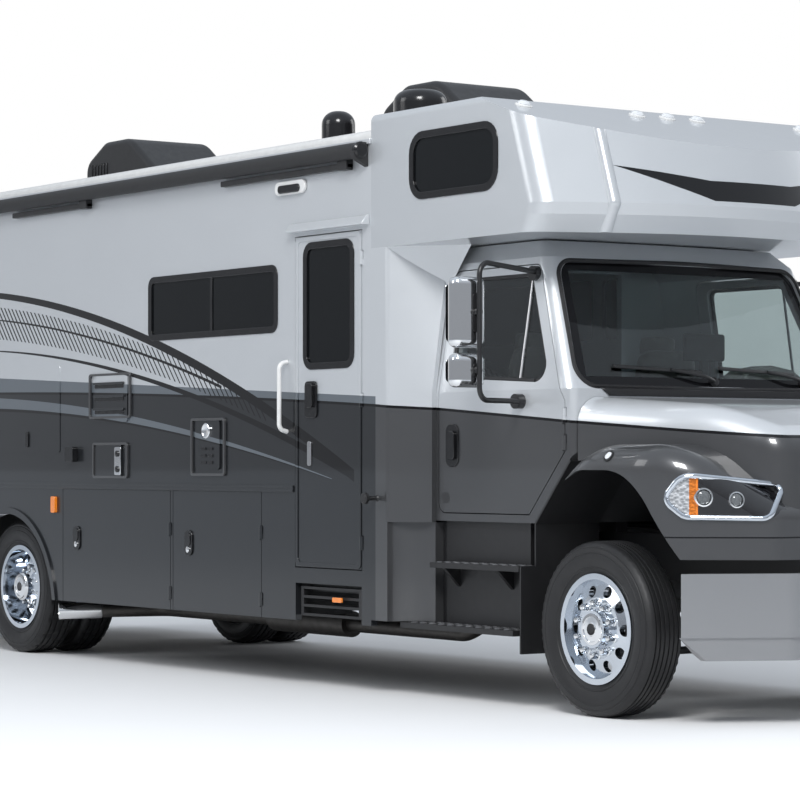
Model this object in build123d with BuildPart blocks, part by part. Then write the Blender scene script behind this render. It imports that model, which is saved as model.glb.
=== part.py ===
"""Motorhome on a conventional truck chassis, an assembly of separate pieces.

Millimetres. X points forward, Y to the vehicle's left, Z up. The origin is on the
ground under the middle of the overall length.
"""
import os

from build123d import *

os.makedirs("parts", exist_ok=True)

# Overall layout
LENGTH = 10100.0
FRONT_OVERHANG = 1020.0
WHEELBASE = 6560.0
FRONT_X = LENGTH / 2
REAR_X = -LENGTH / 2
FRONT_AXLE_X = FRONT_X - FRONT_OVERHANG
REAR_AXLE_X = FRONT_AXLE_X - WHEELBASE

# Clearances
DOOR_GAP = 6.0
RUN_GAP = 0.5
SEAT_GAP = 0.4

# Wheels and tyres
TYRE_R = 478.0
TYRE_W = 254.0
TREAD_HALF_W = 96.0
SHOULDER_R = 455.0
SIDEWALL_R = 385.0
BEAD_R = 286.0
RIM_EDGE_R = 302.0
RIM_HALF_W = 107.0
RIM_LIP = 12.0
RIM_T = 16.0
FRONT_WHEEL_Y = 1028.0
DUAL_MID_Y = 919.0
DUAL_HALF_SPACING = 159.0
DISC_T = 24.0
DISC_OUT = 60.0
DISC_DISH = 30.0
HAND_HOLES = 10
HAND_HOLE_R = 32.0
HAND_HOLE_PCD = 420.0
HUB_R = 112.0
HUB_REACH = 70.0
FLANGE_W = 60.0
AXLE_Z = TYRE_R

# Frame
RAIL_OUT_Y = 432.0
RAIL_FLANGE = 80.0
RAIL_H = 260.0
RAIL_T = 9.0
RAIL_OVER_AXLE = 242.0
RAIL_BOTTOM = AXLE_Z + RAIL_OVER_AXLE
RAIL_TOP = RAIL_BOTTOM + RAIL_H
RAIL_IN_Y = RAIL_OUT_Y - RAIL_FLANGE
RAIL_MID_Y = RAIL_OUT_Y - RAIL_FLANGE / 2
RAIL_FRONT_X = FRONT_X - 150.0
RAIL_REAR_X = REAR_X + 110.0
CROSS_W = 110.0
CROSS_INSET = 40.0
CAB_MOUNT_H = 60.0
CAB_MOUNT_HALF = 60.0

# Axles, springs and steering
KINGPIN_Y = 880.0
KINGPIN_R = 22.0
BOSS_R = 60.0
BOSS_H = 190.0
BEAM_W = 110.0
BEAM_H = 80.0
BEAM_DROP = 38.0
YOKE_T = 36.0
YOKE_GAP = 1.0
YOKE_HALF_W = 50.0
YOKE_OUT = 90.0
YOKE_WEB = 24.0
SPINDLE_R = 50.0
SPINDLE_END_Y = 1090.0
ARM_LENGTH = 250.0
ARM_HALF_W = 22.0
TIE_ROD_R = 22.0
TIE_EYE_R = 26.0
TIE_PIN_R = 12.0
REAR_TUBE_R = 80.0
REAR_TUBE_Y = 600.0
REAR_SPINDLE_R = 60.0
REAR_SPINDLE_Y = 960.0
BANJO_R = 200.0
BANJO_HALF_W = 90.0
SPRING_W = 76.0
SPRING_SEAT_W = 100.0
FRONT_SEAT_H = 82.0
REAR_SEAT_H = 112.0
SPRING_FLAT = 160.0
SPRING_LEAF = 20.0
HANGER_HALF = 40.0

# Coach
COACH_W = 2565.0
WALL_Y = COACH_W / 2
WALL_T = 45.0
REAR_BUMPER_T = 60.0
COACH_REAR_X = REAR_X + REAR_BUMPER_T
SKIRT_Z = 410.0
WALL_TOP = 3300.0
ROOF_EDGE_H = 45.0
ROOF_CROWN_H = 85.0
ROOF_EDGE_Z = WALL_TOP + ROOF_EDGE_H
ROOF_TOP = ROOF_EDGE_Z + ROOF_CROWN_H
ROOF_FLAT_Y = 900.0
FLOOR_SILL_H = 120.0
FLOOR_T = 90.0
FLOOR_BOTTOM = RAIL_TOP + FLOOR_SILL_H
FLOOR_TOP = FLOOR_BOTTOM + FLOOR_T
INNER_Y = WALL_Y - WALL_T
ARCH_R = 690.0
ARCH_H = 600.0
ARCH_TOP = SKIRT_Z + ARCH_H
FLARE_W = 45.0
FLARE_OUT = 14.0

# Cab
COWL_BACK = 260.0
CAB_LENGTH = 1615.0
COWL_X = FRONT_AXLE_X - COWL_BACK
CAB_BACK_X = COWL_X - CAB_LENGTH
CAP_SEAM_X = CAB_BACK_X - WALL_T
CAB_Y = 1075.0
CAB_T = 50.0
CAB_FLOOR_Z = RAIL_TOP + CAB_MOUNT_H
CAB_BELT_Z = CAB_FLOOR_Z + 750.0
SCREEN_TOP_Z = CAB_BELT_Z + 755.0
CAB_ROOF_Z = SCREEN_TOP_Z + 100.0
SCREEN_BACK = 340.0
SCREEN_TOP_Y = 951.0
ROOF_BACK = 450.0
CAB_ROOF_Y = 880.0
SCREEN_BOW = 60.0
SCREEN_CORNER_R = 75.0
COWL_CORNER_R = 40.0
TOE_RUN = 350.0
TOE_RISE = 397.0
SILL_FRONT_X = COWL_X - TOE_RUN
COWL_ARCH_Z = CAB_FLOOR_Z + TOE_RISE
DOOR_FRONT_X = COWL_X - 80.0
DOOR_REAR_X = CAB_BACK_X + 355.0
DOOR_Z0 = CAB_FLOOR_Z + CAB_T
DOOR_Z1 = CAB_BELT_Z + 710.0

# Entry door
ENTRY_FROM_SEAM = 100.0
ENTRY_W = 720.0
ENTRY_X1 = CAP_SEAM_X - ENTRY_FROM_SEAM
ENTRY_X0 = ENTRY_X1 - ENTRY_W
ENTRY_SILL_H = 330.0
ENTRY_H = 2025.0
ENTRY_Z0 = SKIRT_Z + ENTRY_SILL_H
ENTRY_Z1 = ENTRY_Z0 + ENTRY_H
STEP_OPENING_H = 230.0

# Baggage doors, the same on both sides
BAG_Z0 = SKIRT_Z
BAG_OVER_FLOOR = 5.0
BAG_Z1 = FLOOR_TOP + BAG_OVER_FLOOR
BAG_POST = 40.0
BAG_FRONT_W = 1080.0
BAG_FROM_ENTRY = 396.0
BAG_FROM_ARCH = 143.0
BAG_SPLIT_X = ENTRY_X0 - BAG_FROM_ENTRY - BAG_FRONT_W
BAG_DOORS = [
    # name, rear x, front x
    ("rear", REAR_AXLE_X + ARCH_R + BAG_FROM_ARCH, BAG_SPLIT_X - BAG_POST),
    ("front", BAG_SPLIT_X, BAG_SPLIT_X + BAG_FRONT_W),
]
BAG_IN_Y = 480.0
BAG_T = 20.0

# Over-cab cap
CAP_BOTTOM = CAB_ROOF_Z + DOOR_GAP
CAP_TOP = ROOF_TOP + 15.0
CAP_T = 50.0
CAP_SIDE_X = COWL_X - 53.0
CAP_FACET_X = COWL_X + 131.0
CAP_FACET_Y = 880.0
CAP_FRONT_X = COWL_X + 325.0
CAP_CORNER_R = 140.0
CAP_LEAN = 0.33
CAP_SLOPE_X0 = COWL_X - 620.0
CAP_SLOPE_X1 = COWL_X + 230.0
CAP_SLOPE_DROP = 295.0
CAP_NOSE_H = 159.0
CAP_NOSE_Z = CAP_BOTTOM + CAP_NOSE_H
CAP_RIB_R = 40.0
CAP_RIB_SINK = 20.0

# Hood and front bumper
HOOD_REAR_X = COWL_X + DOOR_GAP
HOOD_T = 36.0
HOOD_FRONT_X = FRONT_X - 40.0
HOOD_REAR_Z = CAB_BELT_Z - 45.0
BUMPER_Z0 = 466.0
BUMPER_H = 334.0
BUMPER_Z1 = BUMPER_Z0 + BUMPER_H
BUMPER_T = 60.0
HOOD_Z0 = BUMPER_Z1 + 70.0
HOOD_AXIS_X = FRONT_X - 50.0
HOOD_AXIS_Z = BUMPER_Z1 + 45.0
HOOD_BARREL_R = 18.0
HINGE_LUG_Y = 300.0

# Hinge knuckles of the doors
KNUCKLE_R = 14.0
KNUCKLE_H = 40.0
PIN_R = 8.0
POCKET_R = KNUCKLE_R + 5.0

# Further out than any part of the vehicle, for cuts that go right through
FAR = 2 * LENGTH
WIDE = COACH_W
TALL = 2 * WALL_TOP

SIDES = [("right", -1.0), ("left", 1.0)]


def outline(plane, points, inset=0.0):
    """A closed outline on a plane. A point's third number rounds its corner."""
    with BuildSketch(plane) as area:
        with BuildLine():
            Polyline(*[point[:2] for point in points], close=True)
        make_face()
        for point in points:
            if len(point) > 2:
                fillet(area.vertices().sort_by_distance(point[:2])[0], point[2])
        if inset:
            offset(amount=-inset, kind=Kind.INTERSECTION, mode=Mode.REPLACE)
    return area.sketch


def prism_x(points, x0, x1, mode=Mode.ADD, inset=0.0):
    """Extrude a YZ outline from x0 to x1."""
    extrude(outline(Plane.YZ.offset(x0), points, inset), x1 - x0, dir=(1, 0, 0), mode=mode)


def prism_y(points, y0, y1, mode=Mode.ADD, inset=0.0):
    """Extrude an XZ outline from y0 to y1."""
    extrude(outline(Plane.XZ.offset(-y0), points, inset), y1 - y0, dir=(0, 1, 0), mode=mode)


def prism_z(points, z0, z1, mode=Mode.ADD, inset=0.0):
    """Extrude an XY outline from z0 to z1."""
    extrude(outline(Plane.XY.offset(z0), points, inset), z1 - z0, dir=(0, 0, 1), mode=mode)


def rectangle(u0, u1, v0, v1, radius=0.0):
    """Corners of an upright rectangle, rounded if a radius is given."""
    corners = [(u0, v0), (u1, v0), (u1, v1), (u0, v1)]
    return [corner + (radius,) for corner in corners] if radius else corners


def block(x0, x1, y0, y1, z0, z1, mode=Mode.ADD):
    """A box between the named faces."""
    with Locations(((x0 + x1) / 2, (y0 + y1) / 2, (z0 + z1) / 2)):
        Box(abs(x1 - x0), abs(y1 - y0), abs(z1 - z0), mode=mode)


def post(x, y, z0, z1, radius, mode=Mode.ADD):
    """An upright cylinder."""
    with Locations((x, y, (z0 + z1) / 2)):
        Cylinder(radius, z1 - z0, mode=mode)


def bar_y(x, y0, y1, z, radius, mode=Mode.ADD):
    """A cylinder across the vehicle."""
    with Locations(Location((x, (y0 + y1) / 2, z), (90, 0, 0))):
        Cylinder(radius, abs(y1 - y0), mode=mode)


def tube_along(points, radius, bend):
    """Sweep a round bar along straight runs with tangent bends."""
    with BuildLine() as path:
        FilletPolyline(*points, radius=bend)
    with BuildSketch(Plane(origin=path.line @ 0, z_dir=path.line % 0)) as section:
        Circle(radius)
    sweep(section.sketch, path=path.line)


def turned(x, z, profile, mode=Mode.ADD):
    """Turn a radius and width outline about a wheel axis."""
    plane = Plane(origin=(x, 0, z), x_dir=(1, 0, 0), z_dir=(0, 0, 1))
    revolve(outline(plane, profile), axis=Axis((x, 0, z), (0, 1, 0)), mode=mode)


def finish(builder, node):
    """Label a piece and write its file."""
    builder.part.label = node
    export_step(builder.part, "parts/" + node + ".step")


def hinge_on_body(x, y, levels):
    """Lower knuckles with pins on the body, and pockets round the door's knuckles."""
    for z in levels:
        post(x, y, z - DOOR_GAP, z + KNUCKLE_H + DOOR_GAP, POCKET_R, Mode.SUBTRACT)
        post(x, y, z - RUN_GAP - KNUCKLE_H, z - RUN_GAP, KNUCKLE_R)
        post(x, y, z - RUN_GAP, z + KNUCKLE_H, PIN_R)


def hinge_on_door(x, y, levels):
    """Upper knuckles with bores on the door, and pockets round the body's knuckles."""
    for z in levels:
        post(x, y, z - RUN_GAP - KNUCKLE_H - DOOR_GAP, z, POCKET_R, Mode.SUBTRACT)
        post(x, y, z, z + KNUCKLE_H, KNUCKLE_R)
        post(x, y, z - DOOR_GAP, z + KNUCKLE_H + DOOR_GAP, PIN_R + RUN_GAP, Mode.SUBTRACT)


def open_out(points, side, limit, step):
    """Move the points at a limit further out, so that a hollow is open on that side."""
    return [(point[0] + step * (point[0] == limit),) + point[1:] if side == "x"
            else (point[0], point[1] + step * (point[1] <= limit)) + point[2:] for point in points]


# Frame rails, crossmembers and cab mounts
CROSS_SPAN = CAP_SEAM_X - REAR_AXLE_X
CROSSMEMBERS_X = [
    RAIL_FRONT_X - CROSS_W / 2,
    COWL_X - 990.0,
    CAP_SEAM_X - 0.24 * CROSS_SPAN,
    CAP_SEAM_X - 0.53 * CROSS_SPAN,
    CAP_SEAM_X - 0.83 * CROSS_SPAN,
    (REAR_AXLE_X + RAIL_REAR_X) / 2,
    RAIL_REAR_X + CROSS_W,
]
CAB_MOUNTS_X = [CAB_BACK_X + 145.0, SILL_FRONT_X - 120.0]
with BuildPart() as frame_rails:
    for side_name, side in SIDES:
        web = side * RAIL_OUT_Y
        lip = side * RAIL_IN_Y
        skin = side * (RAIL_OUT_Y - RAIL_T)
        channel = [
            (web, RAIL_BOTTOM),
            (web, RAIL_TOP),
            (lip, RAIL_TOP),
            (lip, RAIL_TOP - RAIL_T),
            (skin, RAIL_TOP - RAIL_T),
            (skin, RAIL_BOTTOM + RAIL_T),
            (lip, RAIL_BOTTOM + RAIL_T),
            (lip, RAIL_BOTTOM),
        ]
        prism_x(channel, RAIL_REAR_X, RAIL_FRONT_X)
        for mount_x in CAB_MOUNTS_X:
            block(mount_x - CAB_MOUNT_HALF, mount_x + CAB_MOUNT_HALF, lip, web, RAIL_TOP, CAB_FLOOR_Z)
    cross_y = RAIL_OUT_Y - RAIL_T / 2
    for cross_x in CROSSMEMBERS_X:
        block(cross_x - CROSS_W / 2, cross_x + CROSS_W / 2, -cross_y, cross_y,
              RAIL_BOTTOM + CROSS_INSET, RAIL_TOP - CROSS_INSET)
finish(frame_rails, "frame_rails")

# Engine and gearbox, one plain mass
ENGINE_GAP = 30.0
ENGINE_L = 900.0
ENGINE_OVER_RAIL = 500.0
SUMP_H = 80.0
SUMP_HALF_W = 220.0
GEARBOX_L = 850.0
GEARBOX_HALF_W = 210.0
GEARBOX_DROP = 20.0
SHAFT_R = 55.0
SHAFT_Z = RAIL_BOTTOM - 80.0
BELL_R = 110.0
ENGINE_X0 = COWL_X + ENGINE_GAP
ENGINE_X1 = ENGINE_X0 + ENGINE_L
GEARBOX_X0 = ENGINE_X0 - GEARBOX_L
with BuildPart() as engine:
    block(ENGINE_X0, ENGINE_X1, -RAIL_IN_Y, RAIL_IN_Y, RAIL_BOTTOM, RAIL_TOP + ENGINE_OVER_RAIL)
    block(ENGINE_X0 + SUMP_H, ENGINE_X1 - SUMP_H, -SUMP_HALF_W, SUMP_HALF_W, RAIL_BOTTOM - SUMP_H,
          RAIL_BOTTOM)
    block(GEARBOX_X0, ENGINE_X0, -GEARBOX_HALF_W, GEARBOX_HALF_W, SHAFT_Z - BELL_R, RAIL_TOP - GEARBOX_DROP)
finish(engine, "engine")

# Front axle beam with kingpin bosses and spring seats
FRONT_SEAT_Z = AXLE_Z + FRONT_SEAT_H
BEAM_Z = AXLE_Z - BEAM_DROP
BOSS_Z0 = AXLE_Z - BOSS_H / 2
BOSS_Z1 = AXLE_Z + BOSS_H / 2
with BuildPart() as front_axle:
    block(FRONT_AXLE_X - BEAM_W / 2, FRONT_AXLE_X + BEAM_W / 2, -KINGPIN_Y, KINGPIN_Y,
          BEAM_Z - BEAM_H / 2, BEAM_Z + BEAM_H / 2)
    for side_name, side in SIDES:
        seat_y = side * RAIL_MID_Y
        post(FRONT_AXLE_X, side * KINGPIN_Y, BOSS_Z0, BOSS_Z1, BOSS_R)
        block(FRONT_AXLE_X - BEAM_W / 2, FRONT_AXLE_X + BEAM_W / 2,
              seat_y - SPRING_SEAT_W / 2, seat_y + SPRING_SEAT_W / 2, BEAM_Z, FRONT_SEAT_Z)
        post(FRONT_AXLE_X, side * KINGPIN_Y, BOSS_Z0 - DOOR_GAP, BOSS_Z1 + DOOR_GAP,
             KINGPIN_R + RUN_GAP, Mode.SUBTRACT)
finish(front_axle, "front_axle")

# Rear axle housing with a banjo centre
REAR_SEAT_Z = AXLE_Z + REAR_SEAT_H
REAR_SEAT_HALF = 70.0
BANJO_CONE = 60.0
with BuildPart() as rear_axle:
    turned(REAR_AXLE_X, AXLE_Z, [
        (0, -REAR_SPINDLE_Y), (REAR_SPINDLE_R, -REAR_SPINDLE_Y), (REAR_SPINDLE_R, -REAR_TUBE_Y),
        (REAR_TUBE_R, -REAR_TUBE_Y), (REAR_TUBE_R, -BANJO_HALF_W - BANJO_CONE),
        (BANJO_R, -BANJO_HALF_W), (BANJO_R, BANJO_HALF_W),
        (REAR_TUBE_R, BANJO_HALF_W + BANJO_CONE), (REAR_TUBE_R, REAR_TUBE_Y),
        (REAR_SPINDLE_R, REAR_TUBE_Y), (REAR_SPINDLE_R, REAR_SPINDLE_Y), (0, REAR_SPINDLE_Y),
    ])
    for side_name, side in SIDES:
        seat_y = side * RAIL_MID_Y
        block(REAR_AXLE_X - REAR_SEAT_HALF, REAR_AXLE_X + REAR_SEAT_HALF,
              seat_y - SPRING_SEAT_W / 2, seat_y + SPRING_SEAT_W / 2, AXLE_Z, REAR_SEAT_Z)
finish(rear_axle, "rear_axle")

# Leaf springs with hangers
SPRING_TABLE = [
    # centre x, half length, seat z, pack height
    (FRONT_AXLE_X, 620.0, FRONT_SEAT_Z, 60.0),
    (REAR_AXLE_X, 720.0, REAR_SEAT_Z, 75.0),
]
with BuildPart() as leaf_springs:
    for mid_x, half, seat_z, pack in SPRING_TABLE:
        leaves = [
            (mid_x - half, seat_z + pack - SPRING_LEAF),
            (mid_x - SPRING_FLAT, seat_z),
            (mid_x + SPRING_FLAT, seat_z),
            (mid_x + half, seat_z + pack - SPRING_LEAF),
            (mid_x + half, seat_z + pack),
            (mid_x - half, seat_z + pack),
        ]
        for side_name, side in SIDES:
            y0 = side * RAIL_MID_Y - SPRING_W / 2
            y1 = side * RAIL_MID_Y + SPRING_W / 2
            prism_y(leaves, y0, y1)
            for end in (-1, 1):
                end_x = mid_x + end * (half - HANGER_HALF)
                block(end_x - HANGER_HALF, end_x + HANGER_HALF, y0, y1,
                      seat_z + pack - SPRING_LEAF / 2, RAIL_BOTTOM)
finish(leaf_springs, "leaf_springs")

# Driveshaft from the gearbox to the rear axle, with a yoke at each end
YOKE_L = 100.0
SHAFT_REAR_X = REAR_AXLE_X + BANJO_R + SEAT_GAP
SHAFT_REAR_Z = AXLE_Z + 22.0
with BuildPart() as driveshaft:
    block(GEARBOX_X0 - YOKE_L, GEARBOX_X0, -SHAFT_R, SHAFT_R, SHAFT_Z - SHAFT_R, SHAFT_Z + SHAFT_R)
    block(SHAFT_REAR_X, SHAFT_REAR_X + YOKE_L, -SHAFT_R, SHAFT_R,
          SHAFT_REAR_Z - SHAFT_R, SHAFT_REAR_Z + SHAFT_R)
    front_end = Vector(GEARBOX_X0 - YOKE_L / 2, 0, SHAFT_Z)
    rear_end = Vector(SHAFT_REAR_X + YOKE_L, 0, SHAFT_REAR_Z)
    with BuildSketch(Plane(origin=front_end, x_dir=(0, 1, 0), z_dir=rear_end - front_end)):
        Circle(SHAFT_R)
    extrude(amount=(rear_end - front_end).length)
finish(driveshaft, "driveshaft")

# Tanks on the rails under the cab doors
TANK_X0 = DOOR_REAR_X - 10.0
TANK_X1 = SILL_FRONT_X - 80.0
TANK_Y1 = 1000.0
TANK_Z0 = RAIL_BOTTOM - 250.0
TANK_Z1 = RAIL_TOP - 80.0
TANK_EDGE_R = 40.0
with BuildPart() as side_tanks:
    for side_name, side in SIDES:
        block(TANK_X0, TANK_X1, side * RAIL_OUT_Y, side * TANK_Y1, TANK_Z0, TANK_Z1)
    fillet(side_tanks.edges().filter_by(Axis.X), TANK_EDGE_R)
finish(side_tanks, "side_tanks")

# Cab steps: two treads on brackets, and the panels behind them
STEP_UPPER_Z = CAB_FLOOR_Z - 240.0
STEP_LOWER_Z = CAB_FLOOR_Z - 600.0
STEP_UPPER_Y = 1165.0
STEP_LOWER_Y = 1205.0
STEP_PANEL_Y = 1040.0
TREAD_T = 32.0
STEP_X0 = DOOR_REAR_X + 30.0
STEP_X1 = SILL_FRONT_X - 30.0
STEP_LOWER_X0 = CAB_BACK_X + 145.0
BRACKET_T = 14.0
BRACKET_H = 110.0
BRACKETS_X = [STEP_X0 + 120.0, STEP_X1 - 220.0]
with BuildPart() as cab_steps:
    for side_name, side in SIDES:
        inner = side * TANK_Y1
        block(STEP_X0, STEP_X1, inner, side * STEP_UPPER_Y, STEP_UPPER_Z - TREAD_T, STEP_UPPER_Z)
        block(STEP_LOWER_X0, STEP_X1, inner, side * STEP_LOWER_Y, STEP_LOWER_Z - TREAD_T, STEP_LOWER_Z)
        block(STEP_X0, TANK_X1, inner, side * STEP_PANEL_Y, STEP_LOWER_Z, CAB_FLOOR_Z)
        for bracket_x in BRACKETS_X:
            prism_x([
                (side * STEP_PANEL_Y, STEP_UPPER_Z - TREAD_T),
                (side * (STEP_UPPER_Y - BRACKET_T), STEP_UPPER_Z - TREAD_T),
                (side * STEP_PANEL_Y, STEP_UPPER_Z - TREAD_T - BRACKET_H),
            ], bracket_x - BRACKET_T, bracket_x + BRACKET_T)
finish(cab_steps, "cab_steps")


# Cab shell: a straight lower body and a leaning upper part with a bowed screen


def bowed_plan(z, back, front, half_width, corner):
    """Plan outline with straight sides and a bowed, round-cornered front."""
    with BuildSketch(Plane.XY.offset(z)) as section:
        with BuildLine():
            bow = ThreePointArc((front - SCREEN_BOW, -half_width), (front, 0),
                                (front - SCREEN_BOW, half_width))
            Polyline(bow @ 1, (back, half_width), (back, -half_width), bow @ 0)
        make_face()
        fillet(section.vertices().group_by(Axis.X)[-1], corner)
    return section.sketch


CAB_OPEN = 200.0
cab_lower = [
    (CAB_BACK_X, CAB_FLOOR_Z),
    (SILL_FRONT_X, CAB_FLOOR_Z),
    (COWL_X, COWL_ARCH_Z),
    (COWL_X, CAB_BELT_Z),
    (CAB_BACK_X, CAB_BELT_Z),
]
CAB_LEVELS = [
    # z of the outside, z of the inside, set back of the front, half width
    (CAB_BELT_Z, CAB_BELT_Z, 0.0, CAB_Y),
    (SCREEN_TOP_Z, SCREEN_TOP_Z - CAB_T / 2, SCREEN_BACK, SCREEN_TOP_Y),
    (CAB_ROOF_Z, CAB_ROOF_Z - CAB_T, ROOF_BACK, CAB_ROOF_Y),
]
with BuildPart() as cab_outer:
    prism_y(cab_lower, -CAB_Y, CAB_Y)
    fillet(cab_outer.edges().filter_by(Axis.Z).group_by(Axis.X)[-1], COWL_CORNER_R)
    levels = [bowed_plan(z, CAB_BACK_X, COWL_X - back, half, SCREEN_CORNER_R)
              for z, inner_z, back, half in CAB_LEVELS]
    loft(levels[:2], ruled=True)
    loft(levels[1:], ruled=True)

with BuildPart() as cab_hollow:
    prism_y(open_out(cab_lower, "x", CAB_BACK_X, -CAB_OPEN), -CAB_Y + CAB_T, CAB_Y - CAB_T, inset=CAB_T)
    levels = [bowed_plan(inner_z, CAB_BACK_X - CAB_OPEN + CAB_T, COWL_X - back - CAB_T, half - CAB_T,
                         SCREEN_CORNER_R - CAB_T / 2)
              for z, inner_z, back, half in CAB_LEVELS]
    loft(levels[:2], ruled=True)
    loft(levels[1:], ruled=True)
    extrude(levels[0], 2 * CAB_T, dir=(0, 0, -1))

SCREEN_Z0 = CAB_BELT_Z + 20.0
SCREEN_Z1 = SCREEN_TOP_Z - 25.0
SCREEN_Y0 = 985.0
SCREEN_Y1 = 880.0
SCREEN_OPENING_R = 110.0
screen_opening = [
    (-SCREEN_Y0, SCREEN_Z0, SCREEN_OPENING_R),
    (SCREEN_Y0, SCREEN_Z0, SCREEN_OPENING_R),
    (SCREEN_Y1, SCREEN_Z1, SCREEN_OPENING_R),
    (-SCREEN_Y1, SCREEN_Z1, SCREEN_OPENING_R),
]
DOOR_CORNER_R = 60.0
DOOR_PILLAR = 50.0
DOOR_LEAN_X = DOOR_FRONT_X - 365.0
cab_door_outline = [
    (DOOR_REAR_X, DOOR_Z0, DOOR_CORNER_R),
    (SILL_FRONT_X - CAB_T, DOOR_Z0),
    (DOOR_FRONT_X, COWL_ARCH_Z + DOOR_GAP),
    (DOOR_FRONT_X, CAB_BELT_Z - 70.0),
    (DOOR_FRONT_X - DOOR_PILLAR, CAB_BELT_Z + DOOR_GAP),
    (DOOR_LEAN_X, DOOR_Z1, DOOR_CORNER_R),
    (DOOR_REAR_X, DOOR_Z1, DOOR_CORNER_R),
]
CAB_HINGE_Z = [DOOR_Z0 + 400.0, DOOR_Z0 + 550.0]
CAB_SIDE_IN = CAB_ROOF_Y - 2 * CAB_T
CAB_SIDE_OUT = CAB_Y + 2 * CAB_T
with BuildPart() as cab_shell:
    add(cab_outer.part)
    add(cab_hollow.part, mode=Mode.SUBTRACT)
    prism_x(screen_opening, COWL_X - SCREEN_BACK - 4 * CAB_T, COWL_X + CAB_T, Mode.SUBTRACT)
    for side_name, side in SIDES:
        prism_y(cab_door_outline, side * CAB_SIDE_IN, side * CAB_SIDE_OUT, Mode.SUBTRACT, -DOOR_GAP)
        hinge_on_body(DOOR_FRONT_X, side * CAB_Y, CAB_HINGE_Z)
finish(cab_shell, "cab_shell")

# Cab doors, cut from the same walls as the shell, with their glass
GLASS_SET = 18.0
GLASS_T = 12.0
WINDOW_CORNER_R = 55.0
WINDOW_REAR_X = DOOR_REAR_X + 90.0
DOOR_WINDOW = [
    (WINDOW_REAR_X, CAB_BELT_Z + 82.0, WINDOW_CORNER_R),
    (DOOR_FRONT_X - 140.0, CAB_BELT_Z + 34.0, 1.6 * WINDOW_CORNER_R),
    (DOOR_LEAN_X - 62.0, DOOR_Z1 - 45.0, WINDOW_CORNER_R),
    (WINDOW_REAR_X, DOOR_Z1 - 45.0, WINDOW_CORNER_R),
]
for side_name, side in SIDES:
    with BuildPart() as cab_door:
        prism_y(cab_door_outline, side * CAB_SIDE_IN, side * CAB_SIDE_OUT)
        add(cab_outer.part, mode=Mode.INTERSECT)
        add(cab_hollow.part, mode=Mode.SUBTRACT)
        prism_y(DOOR_WINDOW, side * CAB_SIDE_IN, side * CAB_SIDE_OUT, Mode.SUBTRACT)
        hinge_on_door(DOOR_FRONT_X, side * CAB_Y, CAB_HINGE_Z)
    finish(cab_door, "cab_door_" + side_name)

    with BuildPart() as cab_glass:
        prism_y(DOOR_WINDOW, side * CAB_SIDE_IN, side * CAB_SIDE_OUT, inset=SEAT_GAP)
        add(cab_outer.part.moved(Location((0, -side * GLASS_SET, 0))), mode=Mode.INTERSECT)
        add(cab_outer.part.moved(Location((0, -side * (GLASS_SET + GLASS_T), 0))), mode=Mode.SUBTRACT)
    finish(cab_glass, "cab_glass_" + side_name)

# Windshield pane, bowed like the cab's front
with BuildPart() as windshield:
    prism_x(screen_opening, COWL_X - SCREEN_BACK - 2 * CAB_T, COWL_X, inset=SEAT_GAP)
    add(cab_outer.part.moved(Location((-GLASS_SET, 0, 0))), mode=Mode.INTERSECT)
    add(cab_outer.part.moved(Location((-GLASS_SET - GLASS_T, 0, 0))), mode=Mode.SUBTRACT)
finish(windshield, "windshield")

# Dashboard with the steering column and wheel on the left
DASH_D = 260.0
DASH_H = 230.0
DASH_NOSE = 80.0
DASH_Y = CAB_Y - CAB_T - 20.0
DASH_Z1 = CAB_BELT_Z - CAB_T - DOOR_GAP
DASH_Z0 = DASH_Z1 - DASH_H
DASH_X1 = COWL_X - CAB_T
DASH_X0 = DASH_X1 - DASH_D
STEER_RIM_R = 225.0
STEER_RIM_T = 16.0
COLUMN_R = 34.0
COLUMN_L = 200.0
COLUMN_Y = 480.0
SPOKE_T = 18.0
with BuildPart() as dashboard:
    prism_y([
        (DASH_X1, DASH_Z0),
        (DASH_X1, DASH_Z1),
        (DASH_X0 + DASH_NOSE, DASH_Z1),
        (DASH_X0, DASH_Z1 - DASH_NOSE, DASH_NOSE / 2),
        (DASH_X0 + DASH_NOSE / 2, DASH_Z0),
    ], -DASH_Y, DASH_Y)
    column = Plane(origin=(DASH_X0 + DASH_NOSE / 2, COLUMN_Y, DASH_Z0 + DASH_NOSE),
                   x_dir=(0, 1, 0), z_dir=(-0.8, 0, 0.6))
    with BuildSketch(column):
        Circle(COLUMN_R)
    extrude(amount=COLUMN_L)
    rim = column.offset(COLUMN_L)
    with BuildSketch(Plane(origin=rim.origin, x_dir=rim.x_dir, z_dir=rim.y_dir)):
        with Locations((STEER_RIM_R, 0)):
            RegularPolygon(STEER_RIM_T, 6)
    revolve(axis=Axis(rim.origin, rim.z_dir))
    with Locations(rim):
        Box(2 * STEER_RIM_R, 2 * COLUMN_R, SPOKE_T)
finish(dashboard, "dashboard")

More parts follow.
